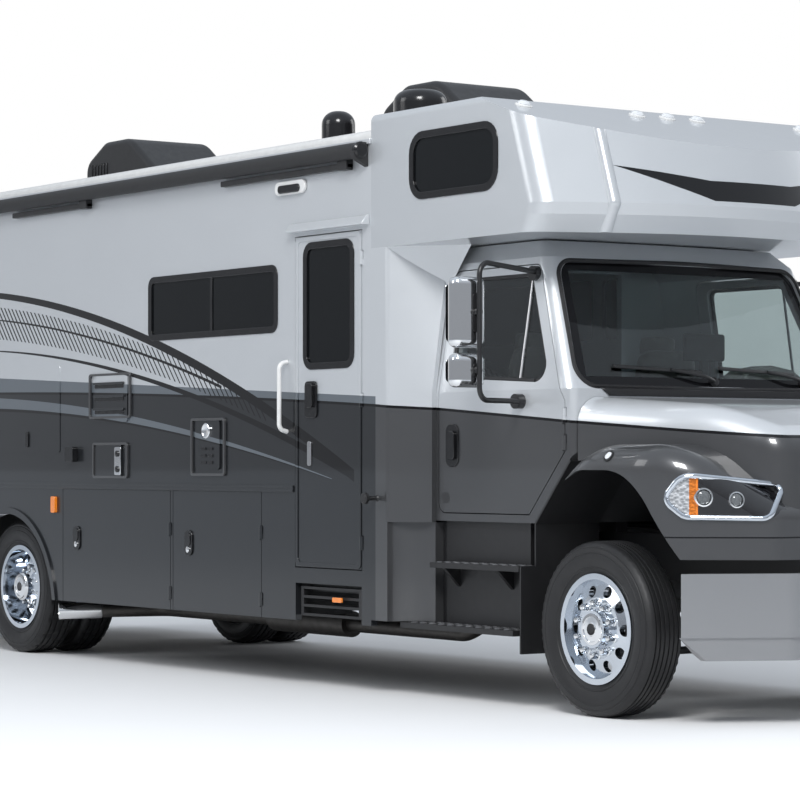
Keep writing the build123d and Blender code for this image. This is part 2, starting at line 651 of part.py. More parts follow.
# Seats: a pedestal, a cushion and a leaning back
SEAT_Y = 480.0
SEAT_HALF_W = 260.0
SEAT_X0 = DOOR_REAR_X + 170.0
SEAT_L = 500.0
SEAT_PEDESTAL_H = 290.0
CUSHION_T = 120.0
BACK_H = 780.0
BACK_T = 110.0
BACK_LEAN = 100.0
seat_low_z = DOOR_Z0 + SEAT_PEDESTAL_H
seat_top_z = seat_low_z + CUSHION_T
with BuildPart() as seats:
    seat_side = [
        (SEAT_X0, DOOR_Z0),
        (SEAT_X0 + SEAT_L - CUSHION_T, DOOR_Z0),
        (SEAT_X0 + SEAT_L - CUSHION_T, seat_low_z),
        (SEAT_X0 + SEAT_L, seat_low_z, CUSHION_T / 3),
        (SEAT_X0 + SEAT_L, seat_top_z, CUSHION_T / 3),
        (SEAT_X0 + BACK_T, seat_top_z, CUSHION_T / 3),
        (SEAT_X0 + BACK_T - BACK_LEAN, seat_low_z + BACK_H, BACK_T / 3),
        (SEAT_X0 - BACK_LEAN, seat_low_z + BACK_H, BACK_T / 3),
        (SEAT_X0 - BACK_LEAN / 3, seat_low_z),
    ]
    for side_name, side in SIDES:
        prism_y(seat_side, side * SEAT_Y - SEAT_HALF_W, side * SEAT_Y + SEAT_HALF_W)
finish(seats, "seats")

# Mirrors on the cab doors: a bent tube with two heads clamped behind it
MIRROR_TUBE_R = 15.0
MIRROR_TUBE_Y = CAB_Y + 385.0
MIRROR_BEND_R = 70.0
MIRROR_TUBE_X = DOOR_FRONT_X - 270.0
MIRROR_FOOT_X = DOOR_FRONT_X - 390.0
MIRROR_HEAD_GAP = 26.0
MIRROR_HEAD_D = 105.0
MIRROR_HEAD_Y0 = MIRROR_TUBE_Y - 75.0
MIRROR_HEAD_W = 215.0
MIRROR_HEAD_R = 42.0
MIRROR_TOP_Z = CAB_BELT_Z + 660.0
MIRROR_LOW_Z = CAB_BELT_Z - 65.0
MIRROR_HEADS = [
    # low z, high z
    (CAB_BELT_Z + 225.0, CAB_BELT_Z + 620.0),
    (CAB_BELT_Z + 5.0, CAB_BELT_Z + 195.0),
]
FOOT_R = 42.0
for side_name, side in SIDES:
    with BuildPart() as mirror_arm:
        head_x1 = MIRROR_TUBE_X - MIRROR_HEAD_GAP
        for z0, z1 in MIRROR_HEADS:
            block(head_x1 - MIRROR_HEAD_D, head_x1, side * MIRROR_HEAD_Y0,
                  side * (MIRROR_HEAD_Y0 + MIRROR_HEAD_W), z0, z1)
        fillet(mirror_arm.edges(), MIRROR_HEAD_R)
        for z0, z1 in MIRROR_HEADS:
            with Locations(Location((head_x1, side * MIRROR_TUBE_Y, (z0 + z1) / 2), (0, 90, 0))):
                Cylinder(1.5 * MIRROR_TUBE_R, 2 * MIRROR_HEAD_GAP)
        tube_along([
            (MIRROR_FOOT_X, side * (SCREEN_TOP_Y - CAB_T), MIRROR_TOP_Z),
            (MIRROR_TUBE_X, side * MIRROR_TUBE_Y, MIRROR_TOP_Z + FOOT_R),
            (MIRROR_TUBE_X, side * MIRROR_TUBE_Y, MIRROR_LOW_Z),
            (MIRROR_FOOT_X, side * (CAB_Y - CAB_T), MIRROR_LOW_Z),
        ], MIRROR_TUBE_R, MIRROR_BEND_R)
        bar_y(MIRROR_FOOT_X, side * (SCREEN_TOP_Y - CAB_T), side * (SCREEN_TOP_Y + CAB_T), MIRROR_TOP_Z,
              FOOT_R)
        bar_y(MIRROR_FOOT_X, side * (CAB_Y - CAB_T), side * (CAB_Y + CAB_T), MIRROR_LOW_Z, FOOT_R)
        add(cab_outer.part, mode=Mode.SUBTRACT)
    finish(mirror_arm, "mirror_" + side_name)

# Front bumper with a valance below it and the hood's hinge lugs
BUMPER_BEND_Y = 610.0
BUMPER_BEND_R = 160.0
BUMPER_END_X = FRONT_AXLE_X + 738.0
BUMPER_END_Y = 1160.0
VALANCE_H = 121.0
VALANCE_SET = 14.0
VALANCE_TAPER = 130.0
BRACKET_Z1 = RAIL_BOTTOM + 70.0
LUG_HALF = 14.0
LUG_T = 16.0
BARREL_L = 60.0


def bumper_plan(set_back):
    """Plan of the bumper's outer face moved back, closed behind its ends."""
    return [
        (FRONT_X - set_back, -BUMPER_BEND_Y, BUMPER_BEND_R),
        (FRONT_X - set_back, BUMPER_BEND_Y, BUMPER_BEND_R),
        (BUMPER_END_X - set_back, BUMPER_END_Y),
        (BUMPER_END_X - set_back, -BUMPER_END_Y),
    ]


valance_z0 = BUMPER_Z0 - VALANCE_H
valance_front = [
    (-BUMPER_END_Y, BUMPER_Z0),
    (-BUMPER_END_Y + VALANCE_TAPER, valance_z0),
    (BUMPER_END_Y - VALANCE_TAPER, valance_z0),
    (BUMPER_END_Y, BUMPER_Z0),
]
with BuildPart() as valance:
    prism_z(bumper_plan(VALANCE_SET), valance_z0, BUMPER_Z0)
    prism_z(bumper_plan(BUMPER_T), valance_z0, BUMPER_Z0, Mode.SUBTRACT)
    prism_x(valance_front, BUMPER_END_X - BUMPER_T, FRONT_X, Mode.INTERSECT)

with BuildPart() as front_bumper:
    prism_z(bumper_plan(0), BUMPER_Z0, BUMPER_Z1)
    prism_z(bumper_plan(BUMPER_T), BUMPER_Z0, BUMPER_Z1, Mode.SUBTRACT)
    add(valance.part)
    for side_name, side in SIDES:
        block(RAIL_FRONT_X, FRONT_X - BUMPER_T, side * RAIL_IN_Y, side * RAIL_OUT_Y, RAIL_BOTTOM,
              BRACKET_Z1)
        lug_y = side * (HINGE_LUG_Y + BARREL_L / 2 + LUG_T / 2 + RUN_GAP)
        block(HOOD_AXIS_X - LUG_HALF, HOOD_AXIS_X + LUG_HALF, lug_y - LUG_T / 2, lug_y + LUG_T / 2,
              BUMPER_Z1, HOOD_AXIS_Z + LUG_HALF)
        bar_y(HOOD_AXIS_X, side * (HINGE_LUG_Y - BARREL_L / 2), lug_y, HOOD_AXIS_Z, PIN_R)
finish(front_bumper, "front_bumper")

# Wheel liners under the toe board, with flaps behind the front wheels
LINER_T = 12.0
LINER_SHARE = 0.9
LINER_Y0 = 620.0
LINER_Y1 = CAB_Y
FLAP_Y1 = 1180.0
FLAP_Z0 = 310.0
FLAP_TOP_DROP = 4.0
toe_top = Vector(SILL_FRONT_X + LINER_SHARE * TOE_RUN, CAB_FLOOR_Z + LINER_SHARE * TOE_RISE)
toe_normal = Vector(TOE_RISE, -TOE_RUN).normalized() * LINER_T
liner = [
    (SILL_FRONT_X, CAB_FLOOR_Z),
    (toe_top.X, toe_top.Y),
    (toe_top.X + toe_normal.X, toe_top.Y + toe_normal.Y),
    (SILL_FRONT_X + LINER_T, CAB_FLOOR_Z - FLAP_TOP_DROP),
    (SILL_FRONT_X + LINER_T, FLAP_Z0),
    (SILL_FRONT_X, FLAP_Z0),
]
with BuildPart() as wheel_liners:
    for side_name, side in SIDES:
        prism_y(liner, side * LINER_Y0, side * FLAP_Y1)
        block(SILL_FRONT_X - TOE_RUN, COWL_X, side * LINER_Y1, side * FLAP_Y1, STEP_UPPER_Z, CAB_BELT_Z,
              Mode.SUBTRACT)
finish(wheel_liners, "wheel_liners")

# Hood: a crowned nose and two round fenders, hollow below and behind
HOOD_LIMIT_Y = 1250.0
HOOD_SILL_Z = CAB_FLOOR_Z - 40.0
HOOD_TOE_X = FRONT_AXLE_X + 570.0
FENDER_FRONT_X = HOOD_FRONT_X - 5.0
FENDER_TOP_Z = AXLE_Z + 1002.0
FENDER_Y = 1192.0
FENDER_IN_Y = 250.0
NOSE_EDGE_R = 150.0
FENDER_EDGE_R = 140.0
FENDER_INNER_R = 80.0
OPEN_STEP = 300.0
nose_side = [
    (HOOD_REAR_X, HOOD_SILL_Z),
    (HOOD_REAR_X, HOOD_REAR_Z),
    (HOOD_FRONT_X - 450.0, HOOD_REAR_Z - 53.0, 900.0),
    (HOOD_FRONT_X - 55.0, HOOD_REAR_Z - 205.0, 170.0),
    (HOOD_FRONT_X, HOOD_Z0),
    (HOOD_TOE_X, HOOD_Z0),
]
nose_plan = [
    (HOOD_REAR_X, -1050.0),
    (HOOD_FRONT_X - 560.0, -890.0, 1500.0),
    (HOOD_FRONT_X, -600.0),
    (HOOD_FRONT_X, 600.0),
    (HOOD_FRONT_X - 560.0, 890.0, 1500.0),
    (HOOD_REAR_X, 1050.0),
]
fender_side = [
    (HOOD_REAR_X, HOOD_SILL_Z),
    (HOOD_REAR_X, FENDER_TOP_Z - 108.0),
    (FRONT_AXLE_X + 50.0, FENDER_TOP_Z, 600.0),
    (FENDER_FRONT_X - 385.0, FENDER_TOP_Z, 420.0),
    (FENDER_FRONT_X, HOOD_Z0 + 250.0, 90.0),
    (FENDER_FRONT_X, HOOD_Z0),
    (HOOD_TOE_X, HOOD_Z0),
]
fender_plan = [
    (HOOD_REAR_X, -FENDER_Y + 42.0),
    (FRONT_AXLE_X - 70.0, -FENDER_Y, 700.0),
    (FENDER_FRONT_X - 405.0, -FENDER_Y, 420.0),
    (FENDER_FRONT_X, -700.0),
    (FENDER_FRONT_X, -FENDER_IN_Y),
    (HOOD_REAR_X, -FENDER_IN_Y),
]
ARCH_PEAK_Z = AXLE_Z + 862.0
wheel_arch = [
    (HOOD_REAR_X - 120.0, HOOD_Z0 - OPEN_STEP),
    (HOOD_REAR_X - 120.0, ARCH_PEAK_Z - 100.0),
    (FRONT_AXLE_X - 100.0, ARCH_PEAK_Z, 260.0),
    (FRONT_AXLE_X + 370.0, ARCH_PEAK_Z, 400.0),
    (FRONT_AXLE_X + 660.0, HOOD_Z0 - 20.0),
    (FRONT_AXLE_X + 660.0, HOOD_Z0 - OPEN_STEP),
]
LAMP_Z0 = HOOD_Z0 + 215.0
lamp_outline = [
    (FENDER_FRONT_X - 308.0, LAMP_Z0 + 235.0, 70.0),
    (FENDER_FRONT_X - 60.0, LAMP_Z0 + 172.0, 60.0),
    (FENDER_FRONT_X - 1.0, LAMP_Z0, 25.0),
    (FENDER_FRONT_X - 300.0, LAMP_Z0 + 6.0, 60.0),
    (FENDER_FRONT_X - 392.0, LAMP_Z0 + 100.0, 60.0),
]


def round_edges(builder, low_z, in_y):
    """The curved upper edges of a hood form, for rounding."""
    edges = builder.edges().filter_by(lambda edge: edge.bounding_box().max.X > HOOD_REAR_X + HOOD_T)
    edges = edges.filter_by(lambda edge: edge.center().Z > low_z and abs(edge.center().Y) > in_y)
    return edges.filter_by(lambda edge: abs(edge.tangent_at(0.5).Y) < 0.99)


def hollow_side(points):
    """A side outline carried on downwards and rearwards, so that its hollow is open there."""
    return open_out(open_out(points, "x", HOOD_REAR_X, -OPEN_STEP), "z", HOOD_SILL_Z, -OPEN_STEP)


NOSE_ROUND_Z = HOOD_Z0 + 230.0
FENDER_ROUND_Z = HOOD_Z0 + 190.0
with BuildPart() as nose_outer:
    prism_y(nose_side, -HOOD_LIMIT_Y, HOOD_LIMIT_Y)
    prism_z(nose_plan, HOOD_Z0 - OPEN_STEP, CAB_ROOF_Z, Mode.INTERSECT)
    fillet(round_edges(nose_outer, NOSE_ROUND_Z, FENDER_IN_Y), NOSE_EDGE_R)

with BuildPart() as nose_hollow:
    prism_y(hollow_side(nose_side), -HOOD_LIMIT_Y, HOOD_LIMIT_Y, inset=HOOD_T)
    prism_z(open_out(nose_plan, "x", HOOD_REAR_X, -OPEN_STEP), HOOD_Z0 - 2 * OPEN_STEP, CAB_ROOF_Z,
            Mode.INTERSECT, HOOD_T)
    fillet(round_edges(nose_hollow, NOSE_ROUND_Z, FENDER_IN_Y), NOSE_EDGE_R - HOOD_T)

with BuildPart() as fenders_outer:
    prism_y(fender_side, -HOOD_LIMIT_Y, -FENDER_IN_Y)
    prism_z(fender_plan, HOOD_Z0 - OPEN_STEP, CAB_ROOF_Z, Mode.INTERSECT)
    fillet(round_edges(fenders_outer, FENDER_ROUND_Z, 2 * FENDER_IN_Y), FENDER_EDGE_R)
    mirror(about=Plane.XZ)

with BuildPart() as fenders_hollow:
    prism_y(hollow_side(fender_side), -HOOD_LIMIT_Y, -FENDER_IN_Y + HOOD_T, inset=HOOD_T)
    prism_z(open_out(fender_plan, "x", HOOD_REAR_X, -OPEN_STEP), HOOD_Z0 - 2 * OPEN_STEP, CAB_ROOF_Z,
            Mode.INTERSECT, HOOD_T)
    fillet(round_edges(fenders_hollow, FENDER_ROUND_Z, 2 * FENDER_IN_Y), FENDER_INNER_R)
    mirror(about=Plane.XZ)

GRILLE_Y = 470.0
GRILLE_Z0 = HOOD_Z0 + 80.0
GRILLE_Z1 = HOOD_REAR_Z - 295.0
GRILLE_R = 60.0
GRILLE_FRAME = 30.0
GRILLE_D = 40.0
GRILLE_BAR = 24.0
GRILLE_BARS = 6
NOSE_DEPTH = 200.0
grille_opening = rectangle(-GRILLE_Y, GRILLE_Y, GRILLE_Z0, GRILLE_Z1, GRILLE_R)
with BuildPart() as hood_shell:
    add(nose_outer.part)
    add(fenders_outer.part)
    add(nose_hollow.part, mode=Mode.SUBTRACT)
    add(fenders_hollow.part, mode=Mode.SUBTRACT)
    prism_x(grille_opening, HOOD_FRONT_X - NOSE_DEPTH, HOOD_FRONT_X + NOSE_DEPTH, Mode.SUBTRACT)
    for side_name, side in SIDES:
        prism_y(wheel_arch, side * LINER_Y0, side * HOOD_LIMIT_Y, Mode.SUBTRACT)
        prism_y(lamp_outline, side * LINER_Y0, side * HOOD_LIMIT_Y, Mode.SUBTRACT)
        barrel_y0 = side * HINGE_LUG_Y - BARREL_L / 2
        barrel_y1 = side * HINGE_LUG_Y + BARREL_L / 2
        block(HOOD_AXIS_X - PIN_R, HOOD_FRONT_X - DOOR_GAP, barrel_y0, barrel_y1, HOOD_AXIS_Z,
              HOOD_Z0 + HOOD_T)
        bar_y(HOOD_AXIS_X, barrel_y0, barrel_y1, HOOD_AXIS_Z, HOOD_BARREL_R)
        bar_y(HOOD_AXIS_X, barrel_y0 - DOOR_GAP, barrel_y1 + DOOR_GAP, HOOD_AXIS_Z, PIN_R + RUN_GAP,
              Mode.SUBTRACT)
finish(hood_shell, "hood_shell")

# Headlamps wrapped round the fender corners
with BuildPart() as headlamps:
    prism_y(lamp_outline, -HOOD_LIMIT_Y, -LINER_Y0, inset=SEAT_GAP)
    add(fenders_outer.part, mode=Mode.INTERSECT)
    add(fenders_hollow.part, mode=Mode.SUBTRACT)
    add(nose_hollow.part, mode=Mode.SUBTRACT)
    mirror(about=Plane.XZ)
finish(headlamps, "headlamps")

# Grille: a frame with level bars, leaning with the nose
nose_rise = HOOD_REAR_Z - 205.0 - HOOD_Z0
grille_slab = [
    (HOOD_FRONT_X - DOOR_GAP, HOOD_Z0),
    (HOOD_FRONT_X - DOOR_GAP - 55.0, HOOD_Z0 + nose_rise),
    (HOOD_FRONT_X - DOOR_GAP - 55.0 - GRILLE_D, HOOD_Z0 + nose_rise),
    (HOOD_FRONT_X - DOOR_GAP - GRILLE_D, HOOD_Z0),
]
with BuildPart() as grille:
    prism_x(grille_opening, HOOD_FRONT_X - NOSE_DEPTH, HOOD_FRONT_X, inset=SEAT_GAP)
    prism_x(grille_opening, HOOD_FRONT_X - NOSE_DEPTH, HOOD_FRONT_X, Mode.SUBTRACT, GRILLE_FRAME)
    bar_pitch = (GRILLE_Z1 - GRILLE_Z0) / (GRILLE_BARS + 1)
    for bar in range(GRILLE_BARS):
        bar_z = GRILLE_Z0 + (bar + 1) * bar_pitch
        block(HOOD_FRONT_X - NOSE_DEPTH, HOOD_FRONT_X, -GRILLE_Y + GRILLE_FRAME / 2,
              GRILLE_Y - GRILLE_FRAME / 2,
              bar_z - GRILLE_BAR / 2, bar_z + GRILLE_BAR / 2)
    prism_y(grille_slab, -GRILLE_Y, GRILLE_Y, Mode.INTERSECT)
finish(grille, "grille")

# Coach floor on two sills, with the entry stairwell
WELL_GAP = 10.0
WELL_X0 = ENTRY_X0 - WELL_GAP
WELL_X1 = ENTRY_X1 + WELL_GAP
WELL_Y = 560.0
WELL_T = 30.0
WELL_FLOOR = ENTRY_Z0 - 5.0
WELL_STEP_Y = 900.0
WELL_STEP_H = 225.0
with BuildPart() as coach_floor:
    block(COACH_REAR_X + WALL_T, CAP_SEAM_X, -INNER_Y, INNER_Y, FLOOR_BOTTOM, FLOOR_TOP)
    for side_name, side in SIDES:
        block(COACH_REAR_X + WALL_T, CAP_SEAM_X, side * RAIL_IN_Y, side * RAIL_OUT_Y, RAIL_TOP,
              FLOOR_BOTTOM)
    block(WELL_X0 - WELL_T, WELL_X1 + WELL_T, -INNER_Y, -WELL_Y + WELL_T, WELL_FLOOR - WELL_T, FLOOR_BOTTOM)
    block(WELL_X0, WELL_X1, -INNER_Y, -WELL_Y, WELL_FLOOR, FLOOR_TOP, Mode.SUBTRACT)
    block(WELL_X0, WELL_X1, -WELL_STEP_Y, -WELL_Y, WELL_FLOOR, WELL_FLOOR + WELL_STEP_H)
finish(coach_floor, "coach_floor")

# Coach side walls, with round rear arches, and their baggage doors
WINDOW_R = 60.0
WINDOW_Z0 = FLOOR_TOP + 1006.0
WINDOW_H = 411.0
WINDOW_Z1 = WINDOW_Z0 + WINDOW_H
SIDE_WINDOWS = [
    # side name, rear x, front x
    ("right", ENTRY_X0 - 1790.0, ENTRY_X0 - 210.0),
    ("left", ENTRY_X0 - 1790.0, ENTRY_X0 - 210.0),
    ("left", ENTRY_X0 - 110.0, ENTRY_X0 + 670.0),
]
BAG_HINGE_Z = [BAG_Z0 + 110.0, BAG_Z1 - 255.0]
ENTRY_HINGE_Z = [ENTRY_Z0 + 160.0, ENTRY_Z0 + 1010.0, ENTRY_Z1 - 165.0]


def arch_outline(extra):
    """Outline of the rear wheel opening, widened by a flare."""
    with BuildSketch(Plane.XZ.offset(-WIDE)) as area:
        with BuildLine():
            arch = ThreePointArc((REAR_AXLE_X - ARCH_R - extra, SKIRT_Z),
                                 (REAR_AXLE_X, ARCH_TOP + extra),
                                 (REAR_AXLE_X + ARCH_R + extra, SKIRT_Z))
            Line(arch @ 1, arch @ 0)
        make_face()
    return area.sketch


for side_name, side in SIDES:
    outer = side * WALL_Y
    inner = side * INNER_Y
    with BuildPart() as wall:
        extrude(arch_outline(FLARE_W), 2 * WIDE)
        block(-FAR, FAR, outer, outer + side * FLARE_OUT, 0, TALL, Mode.INTERSECT)
        block(COACH_REAR_X + WALL_T, CAP_SEAM_X, inner, outer, SKIRT_Z, WALL_TOP)
        extrude(arch_outline(0), 2 * WIDE, mode=Mode.SUBTRACT)
        for window_side, x0, x1 in SIDE_WINDOWS:
            if window_side == side_name:
                prism_y(rectangle(x0, x1, WINDOW_Z0, WINDOW_Z1, WINDOW_R), inner, outer, Mode.SUBTRACT)
        for bag_name, x0, x1 in BAG_DOORS:
            block(x0 - DOOR_GAP, x1 + DOOR_GAP, inner, outer, BAG_Z0, BAG_Z1 + DOOR_GAP, Mode.SUBTRACT)
        for bag_name, x0, x1 in BAG_DOORS:
            hinge_on_body(x1, outer, BAG_HINGE_Z)
        if side_name == "right":
            block(ENTRY_X0, ENTRY_X1, inner, outer, SKIRT_Z, SKIRT_Z + STEP_OPENING_H, Mode.SUBTRACT)
            block(ENTRY_X0 - DOOR_GAP, ENTRY_X1 + DOOR_GAP, inner, outer,
                  ENTRY_Z0 - DOOR_GAP, ENTRY_Z1 + DOOR_GAP, Mode.SUBTRACT)
            hinge_on_body(ENTRY_X1, outer, ENTRY_HINGE_Z)
    finish(wall, "coach_wall_" + side_name)

    for bag_name, x0, x1 in BAG_DOORS:
        with BuildPart() as bag_door:
            block(x0, x1, inner, outer, BAG_Z0, BAG_Z1)
            hinge_on_door(x1, outer, BAG_HINGE_Z)
        finish(bag_door, "baggage_door_" + bag_name + "_" + side_name)

# Baggage boxes behind the doors
BAG_BOX_Z0 = BAG_Z0 + 20.0
bag_x0 = BAG_DOORS[0][1]
bag_x1 = BAG_DOORS[1][2]
with BuildPart() as baggage_boxes:
    for side_name, side in SIDES:
        block(bag_x0 - BAG_T, bag_x1 + BAG_T, side * BAG_IN_Y, side * (INNER_Y - DOOR_GAP), BAG_BOX_Z0,
              FLOOR_BOTTOM)
        block(bag_x0, bag_x1, side * (BAG_IN_Y + BAG_T), side * INNER_Y, BAG_BOX_Z0 + BAG_T,
              FLOOR_BOTTOM - BAG_T,
              Mode.SUBTRACT)
finish(baggage_boxes, "baggage_boxes")

# Entry door and its glass
ENTRY_GLASS_R = 80.0
PANE_SET = 6.0
ENTRY_GLASS = rectangle(ENTRY_X0 + 95.0, ENTRY_X1 - 85.0, ENTRY_Z0 + 1215.0, ENTRY_Z1 - 45.0, ENTRY_GLASS_R)
with BuildPart() as entry_door:
    block(ENTRY_X0, ENTRY_X1, -WALL_Y, -INNER_Y, ENTRY_Z0, ENTRY_Z1)
    prism_y(ENTRY_GLASS, -WALL_Y, -INNER_Y, Mode.SUBTRACT)
    hinge_on_door(ENTRY_X1, -WALL_Y, ENTRY_HINGE_Z)
finish(entry_door, "entry_door")

with BuildPart() as entry_glass:
    prism_y(ENTRY_GLASS, -WALL_Y + PANE_SET, -WALL_Y + PANE_SET + GLASS_T, inset=SEAT_GAP)
finish(entry_glass, "entry_glass")

# Rear wall
RECEIVER_Z = RAIL_BOTTOM - 220.0
REAR_SKIRT_Z = RECEIVER_Z + 60.0
REAR_WINDOW_Y = 520.0
REAR_WINDOW = rectangle(-REAR_WINDOW_Y, REAR_WINDOW_Y, WINDOW_Z0, WINDOW_Z1, WINDOW_R)
with BuildPart() as coach_wall_rear:
    block(COACH_REAR_X, COACH_REAR_X + WALL_T, -WALL_Y, WALL_Y, REAR_SKIRT_Z, WALL_TOP)
    prism_x(REAR_WINDOW, COACH_REAR_X, COACH_REAR_X + WALL_T, Mode.SUBTRACT)
finish(coach_wall_rear, "coach_wall_rear")

# Front bulkhead with the walk-through to the cab
BULKHEAD_LIFT = 35.0
PASSAGE_Y = 600.0
PASSAGE_TOP_DROP = 91.0
CHASSIS_NOTCH_Y = 1050.0
with BuildPart() as coach_wall_front:
    block(CAP_SEAM_X, CAB_BACK_X, -WALL_Y, WALL_Y, SKIRT_Z + BULKHEAD_LIFT, CAP_BOTTOM)
    block(CAP_SEAM_X, CAB_BACK_X, -PASSAGE_Y, PASSAGE_Y, FLOOR_TOP, CAP_BOTTOM - PASSAGE_TOP_DROP,
          Mode.SUBTRACT)
    block(CAP_SEAM_X, CAB_BACK_X, -CHASSIS_NOTCH_Y, CHASSIS_NOTCH_Y, SKIRT_Z, RAIL_TOP + WELL_GAP,
          Mode.SUBTRACT)
finish(coach_wall_front, "coach_wall_front")

# Roof with rounded eaves
EAVE_R = 40.0
roof_section = [
    (-WALL_Y, WALL_TOP),
    (WALL_Y, WALL_TOP),
    (WALL_Y, ROOF_EDGE_Z, EAVE_R),
    (ROOF_FLAT_Y, ROOF_TOP, 10 * EAVE_R),
    (-ROOF_FLAT_Y, ROOF_TOP, 10 * EAVE_R),
    (-WALL_Y, ROOF_EDGE_Z, EAVE_R),
]
with BuildPart() as coach_roof:
    prism_x(roof_section, COACH_REAR_X, CAP_SEAM_X)
finish(coach_roof, "coach_roof")


# Over-cab cap: side walls, corner facets, a bowed front and a sloping brow


def cap_section(z, inset, back):
    """Plan outline of the cap at one height, moved back by the lean or the undercut."""
    side_y = WALL_Y - inset
    facet_y = CAP_FACET_Y - 0.4 * inset
    rear = CAP_SEAM_X - 0.2 * inset
    side_x = CAP_SIDE_X - back - 0.6 * inset
    facet_x = CAP_FACET_X - back - inset
    with BuildSketch(Plane.XY.offset(z)) as section:
        with BuildLine():
            front = ThreePointArc((facet_x, -facet_y), (CAP_FRONT_X - back - inset, 0), (facet_x, facet_y))
            Polyline(front @ 1, (side_x, side_y), (rear, side_y), (rear, -side_y), (side_x, -side_y),
                     front @ 0)
        make_face()
        for side_name, side in SIDES:
            fillet(section.vertices().sort_by_distance((side_x, side * side_y))[0], CAP_CORNER_R - inset)
    return section.sketch


CAP_LEVELS = [
    # height, set back of the front
    (CAP_BOTTOM, 85.0),
    (CAP_BOTTOM + 0.6 * CAP_NOSE_H, 20.0),
    (CAP_NOSE_Z, 0.0),
    (CAP_TOP, CAP_LEAN * (CAP_TOP - CAP_NOSE_Z)),
]
CAP_EDGE_R = 45.0
slope_rate = CAP_SLOPE_DROP / (CAP_SLOPE_X1 - CAP_SLOPE_X0)
slope_reach = 2 * (CAP_SLOPE_X1 - CAP_SLOPE_X0)


def cap_brow(drop):
    """What the sloping brow cuts off above the cap's front, in side view."""
    return [
        (CAP_SLOPE_X0, CAP_TOP - drop),
        (CAP_SLOPE_X0 + slope_reach, CAP_TOP - drop - slope_rate * slope_reach),
        (CAP_SLOPE_X0 + slope_reach, TALL),
        (CAP_SLOPE_X0, TALL),
    ]


rib_low = Vector(CAP_FACET_X - CAP_RIB_SINK, CAP_FACET_Y, CAP_NOSE_Z)
rib_high = rib_low + Vector(-CAP_LEAN, 0, 1) * (CAP_TOP - CAP_NOSE_Z)
rib_base = Vector(rib_low.X - 85.0, CAP_FACET_Y, CAP_BOTTOM)
with BuildPart() as cap_ribs:
    for start, end in ((rib_base, rib_low), (rib_low, rib_high)):
        with BuildSketch(Plane(origin=start, x_dir=(0, 1, 0), z_dir=end - start)):
            Circle(CAP_RIB_R)
        extrude(amount=(end - start).length)
    with Locations(rib_low):
        Sphere(CAP_RIB_R)
    block(-FAR, FAR, 0, WIDE, CAP_BOTTOM, CAP_TOP - CAP_T, Mode.INTERSECT)
    mirror(about=Plane.XZ)

CAP_WINDOW = rectangle(CAP_SIDE_X - 1207.0, CAP_SIDE_X - 367.0, CAP_NOSE_Z + 100.0, CAP_TOP - 155.0,
                       2 * WINDOW_R)
with BuildPart() as cap_outer:
    sections = [cap_section(z, 0, back) for z, back in CAP_LEVELS]
    for low, high in zip(sections, sections[1:]):
        loft([low, high], ruled=True)
    fillet(cap_outer.edges().group_by(Axis.Z)[-1].filter_by(Axis.X), CAP_EDGE_R)
    add(cap_ribs.part)
    prism_y(cap_brow(0), -WIDE, WIDE, Mode.SUBTRACT)

with BuildPart() as cap_hollow:
    sections = [cap_section(z, CAP_T, back) for z, back in CAP_LEVELS[1:-1]]
    floor_section = cap_section(CAP_BOTTOM + CAP_T, CAP_T, CAP_LEVELS[0][1])
    top_section = cap_section(CAP_TOP - CAP_T, CAP_T, CAP_LEAN * (CAP_TOP - CAP_T - CAP_NOSE_Z))
    sections = [floor_section] + sections + [top_section]
    for low, high in zip(sections, sections[1:]):
        loft([low, high], ruled=True)
    prism_y(cap_brow(CAP_T), -WIDE, WIDE, Mode.SUBTRACT)

with BuildPart() as front_cap:
    add(cap_outer.part)
    add(cap_hollow.part, mode=Mode.SUBTRACT)
    for side_name, side in SIDES:
        prism_y(CAP_WINDOW, side * (INNER_Y - CAP_T), side * (WALL_Y + CAP_T), Mode.SUBTRACT)
finish(front_cap, "front_cap")

# Fixed glass of the coach and the cap
with BuildPart() as coach_windows:
    for side_name, side in SIDES:
        y0 = side * (WALL_Y - PANE_SET)
        y1 = side * (WALL_Y - PANE_SET - GLASS_T)
        for window_side, x0, x1 in SIDE_WINDOWS:
            if window_side == side_name:
                prism_y(rectangle(x0, x1, WINDOW_Z0, WINDOW_Z1, WINDOW_R), y0, y1, inset=SEAT_GAP)
        prism_y(CAP_WINDOW, y0, y1, inset=SEAT_GAP)
    prism_x(REAR_WINDOW, COACH_REAR_X + PANE_SET, COACH_REAR_X + PANE_SET + GLASS_T, inset=SEAT_GAP)
finish(coach_windows, "coach_windows")

# Fairings between the coach and the cab doors, scooped out beside the steps
FAIRING_W = 119.0
FAIRING_T = 30.0
FAIRING_EDGE_R = 45.0
FAIRING_X1 = CAB_BACK_X + FAIRING_W
FAIRING_END_X = DOOR_REAR_X - 30.0
FAIRING_Z0 = SKIRT_Z + BULKHEAD_LIFT
FAIRING_SILL_Z = CAB_FLOOR_Z - 10.0
SCOOP_R = 235.0
SCOOP_Y0 = 1005.0
GUSSET_H = 250.0
GUSSET_X = FAIRING_END_X + 220.0


def fairing_plan(z, lean):
    """Plan of a fairing at one height, its inner end moved in with the cab's lean."""
    return outline(Plane.XY.offset(z), [
        (CAB_BACK_X, WALL_Y),
        (FAIRING_X1, WALL_Y, FAIRING_EDGE_R),
        (FAIRING_END_X, CAB_Y + FAIRING_T - lean),
        (FAIRING_END_X, CAB_Y + SEAT_GAP - lean),
        (FAIRING_X1 - FAIRING_T, WALL_Y - FAIRING_T),
        (CAB_BACK_X, WALL_Y - FAIRING_T),
    ])


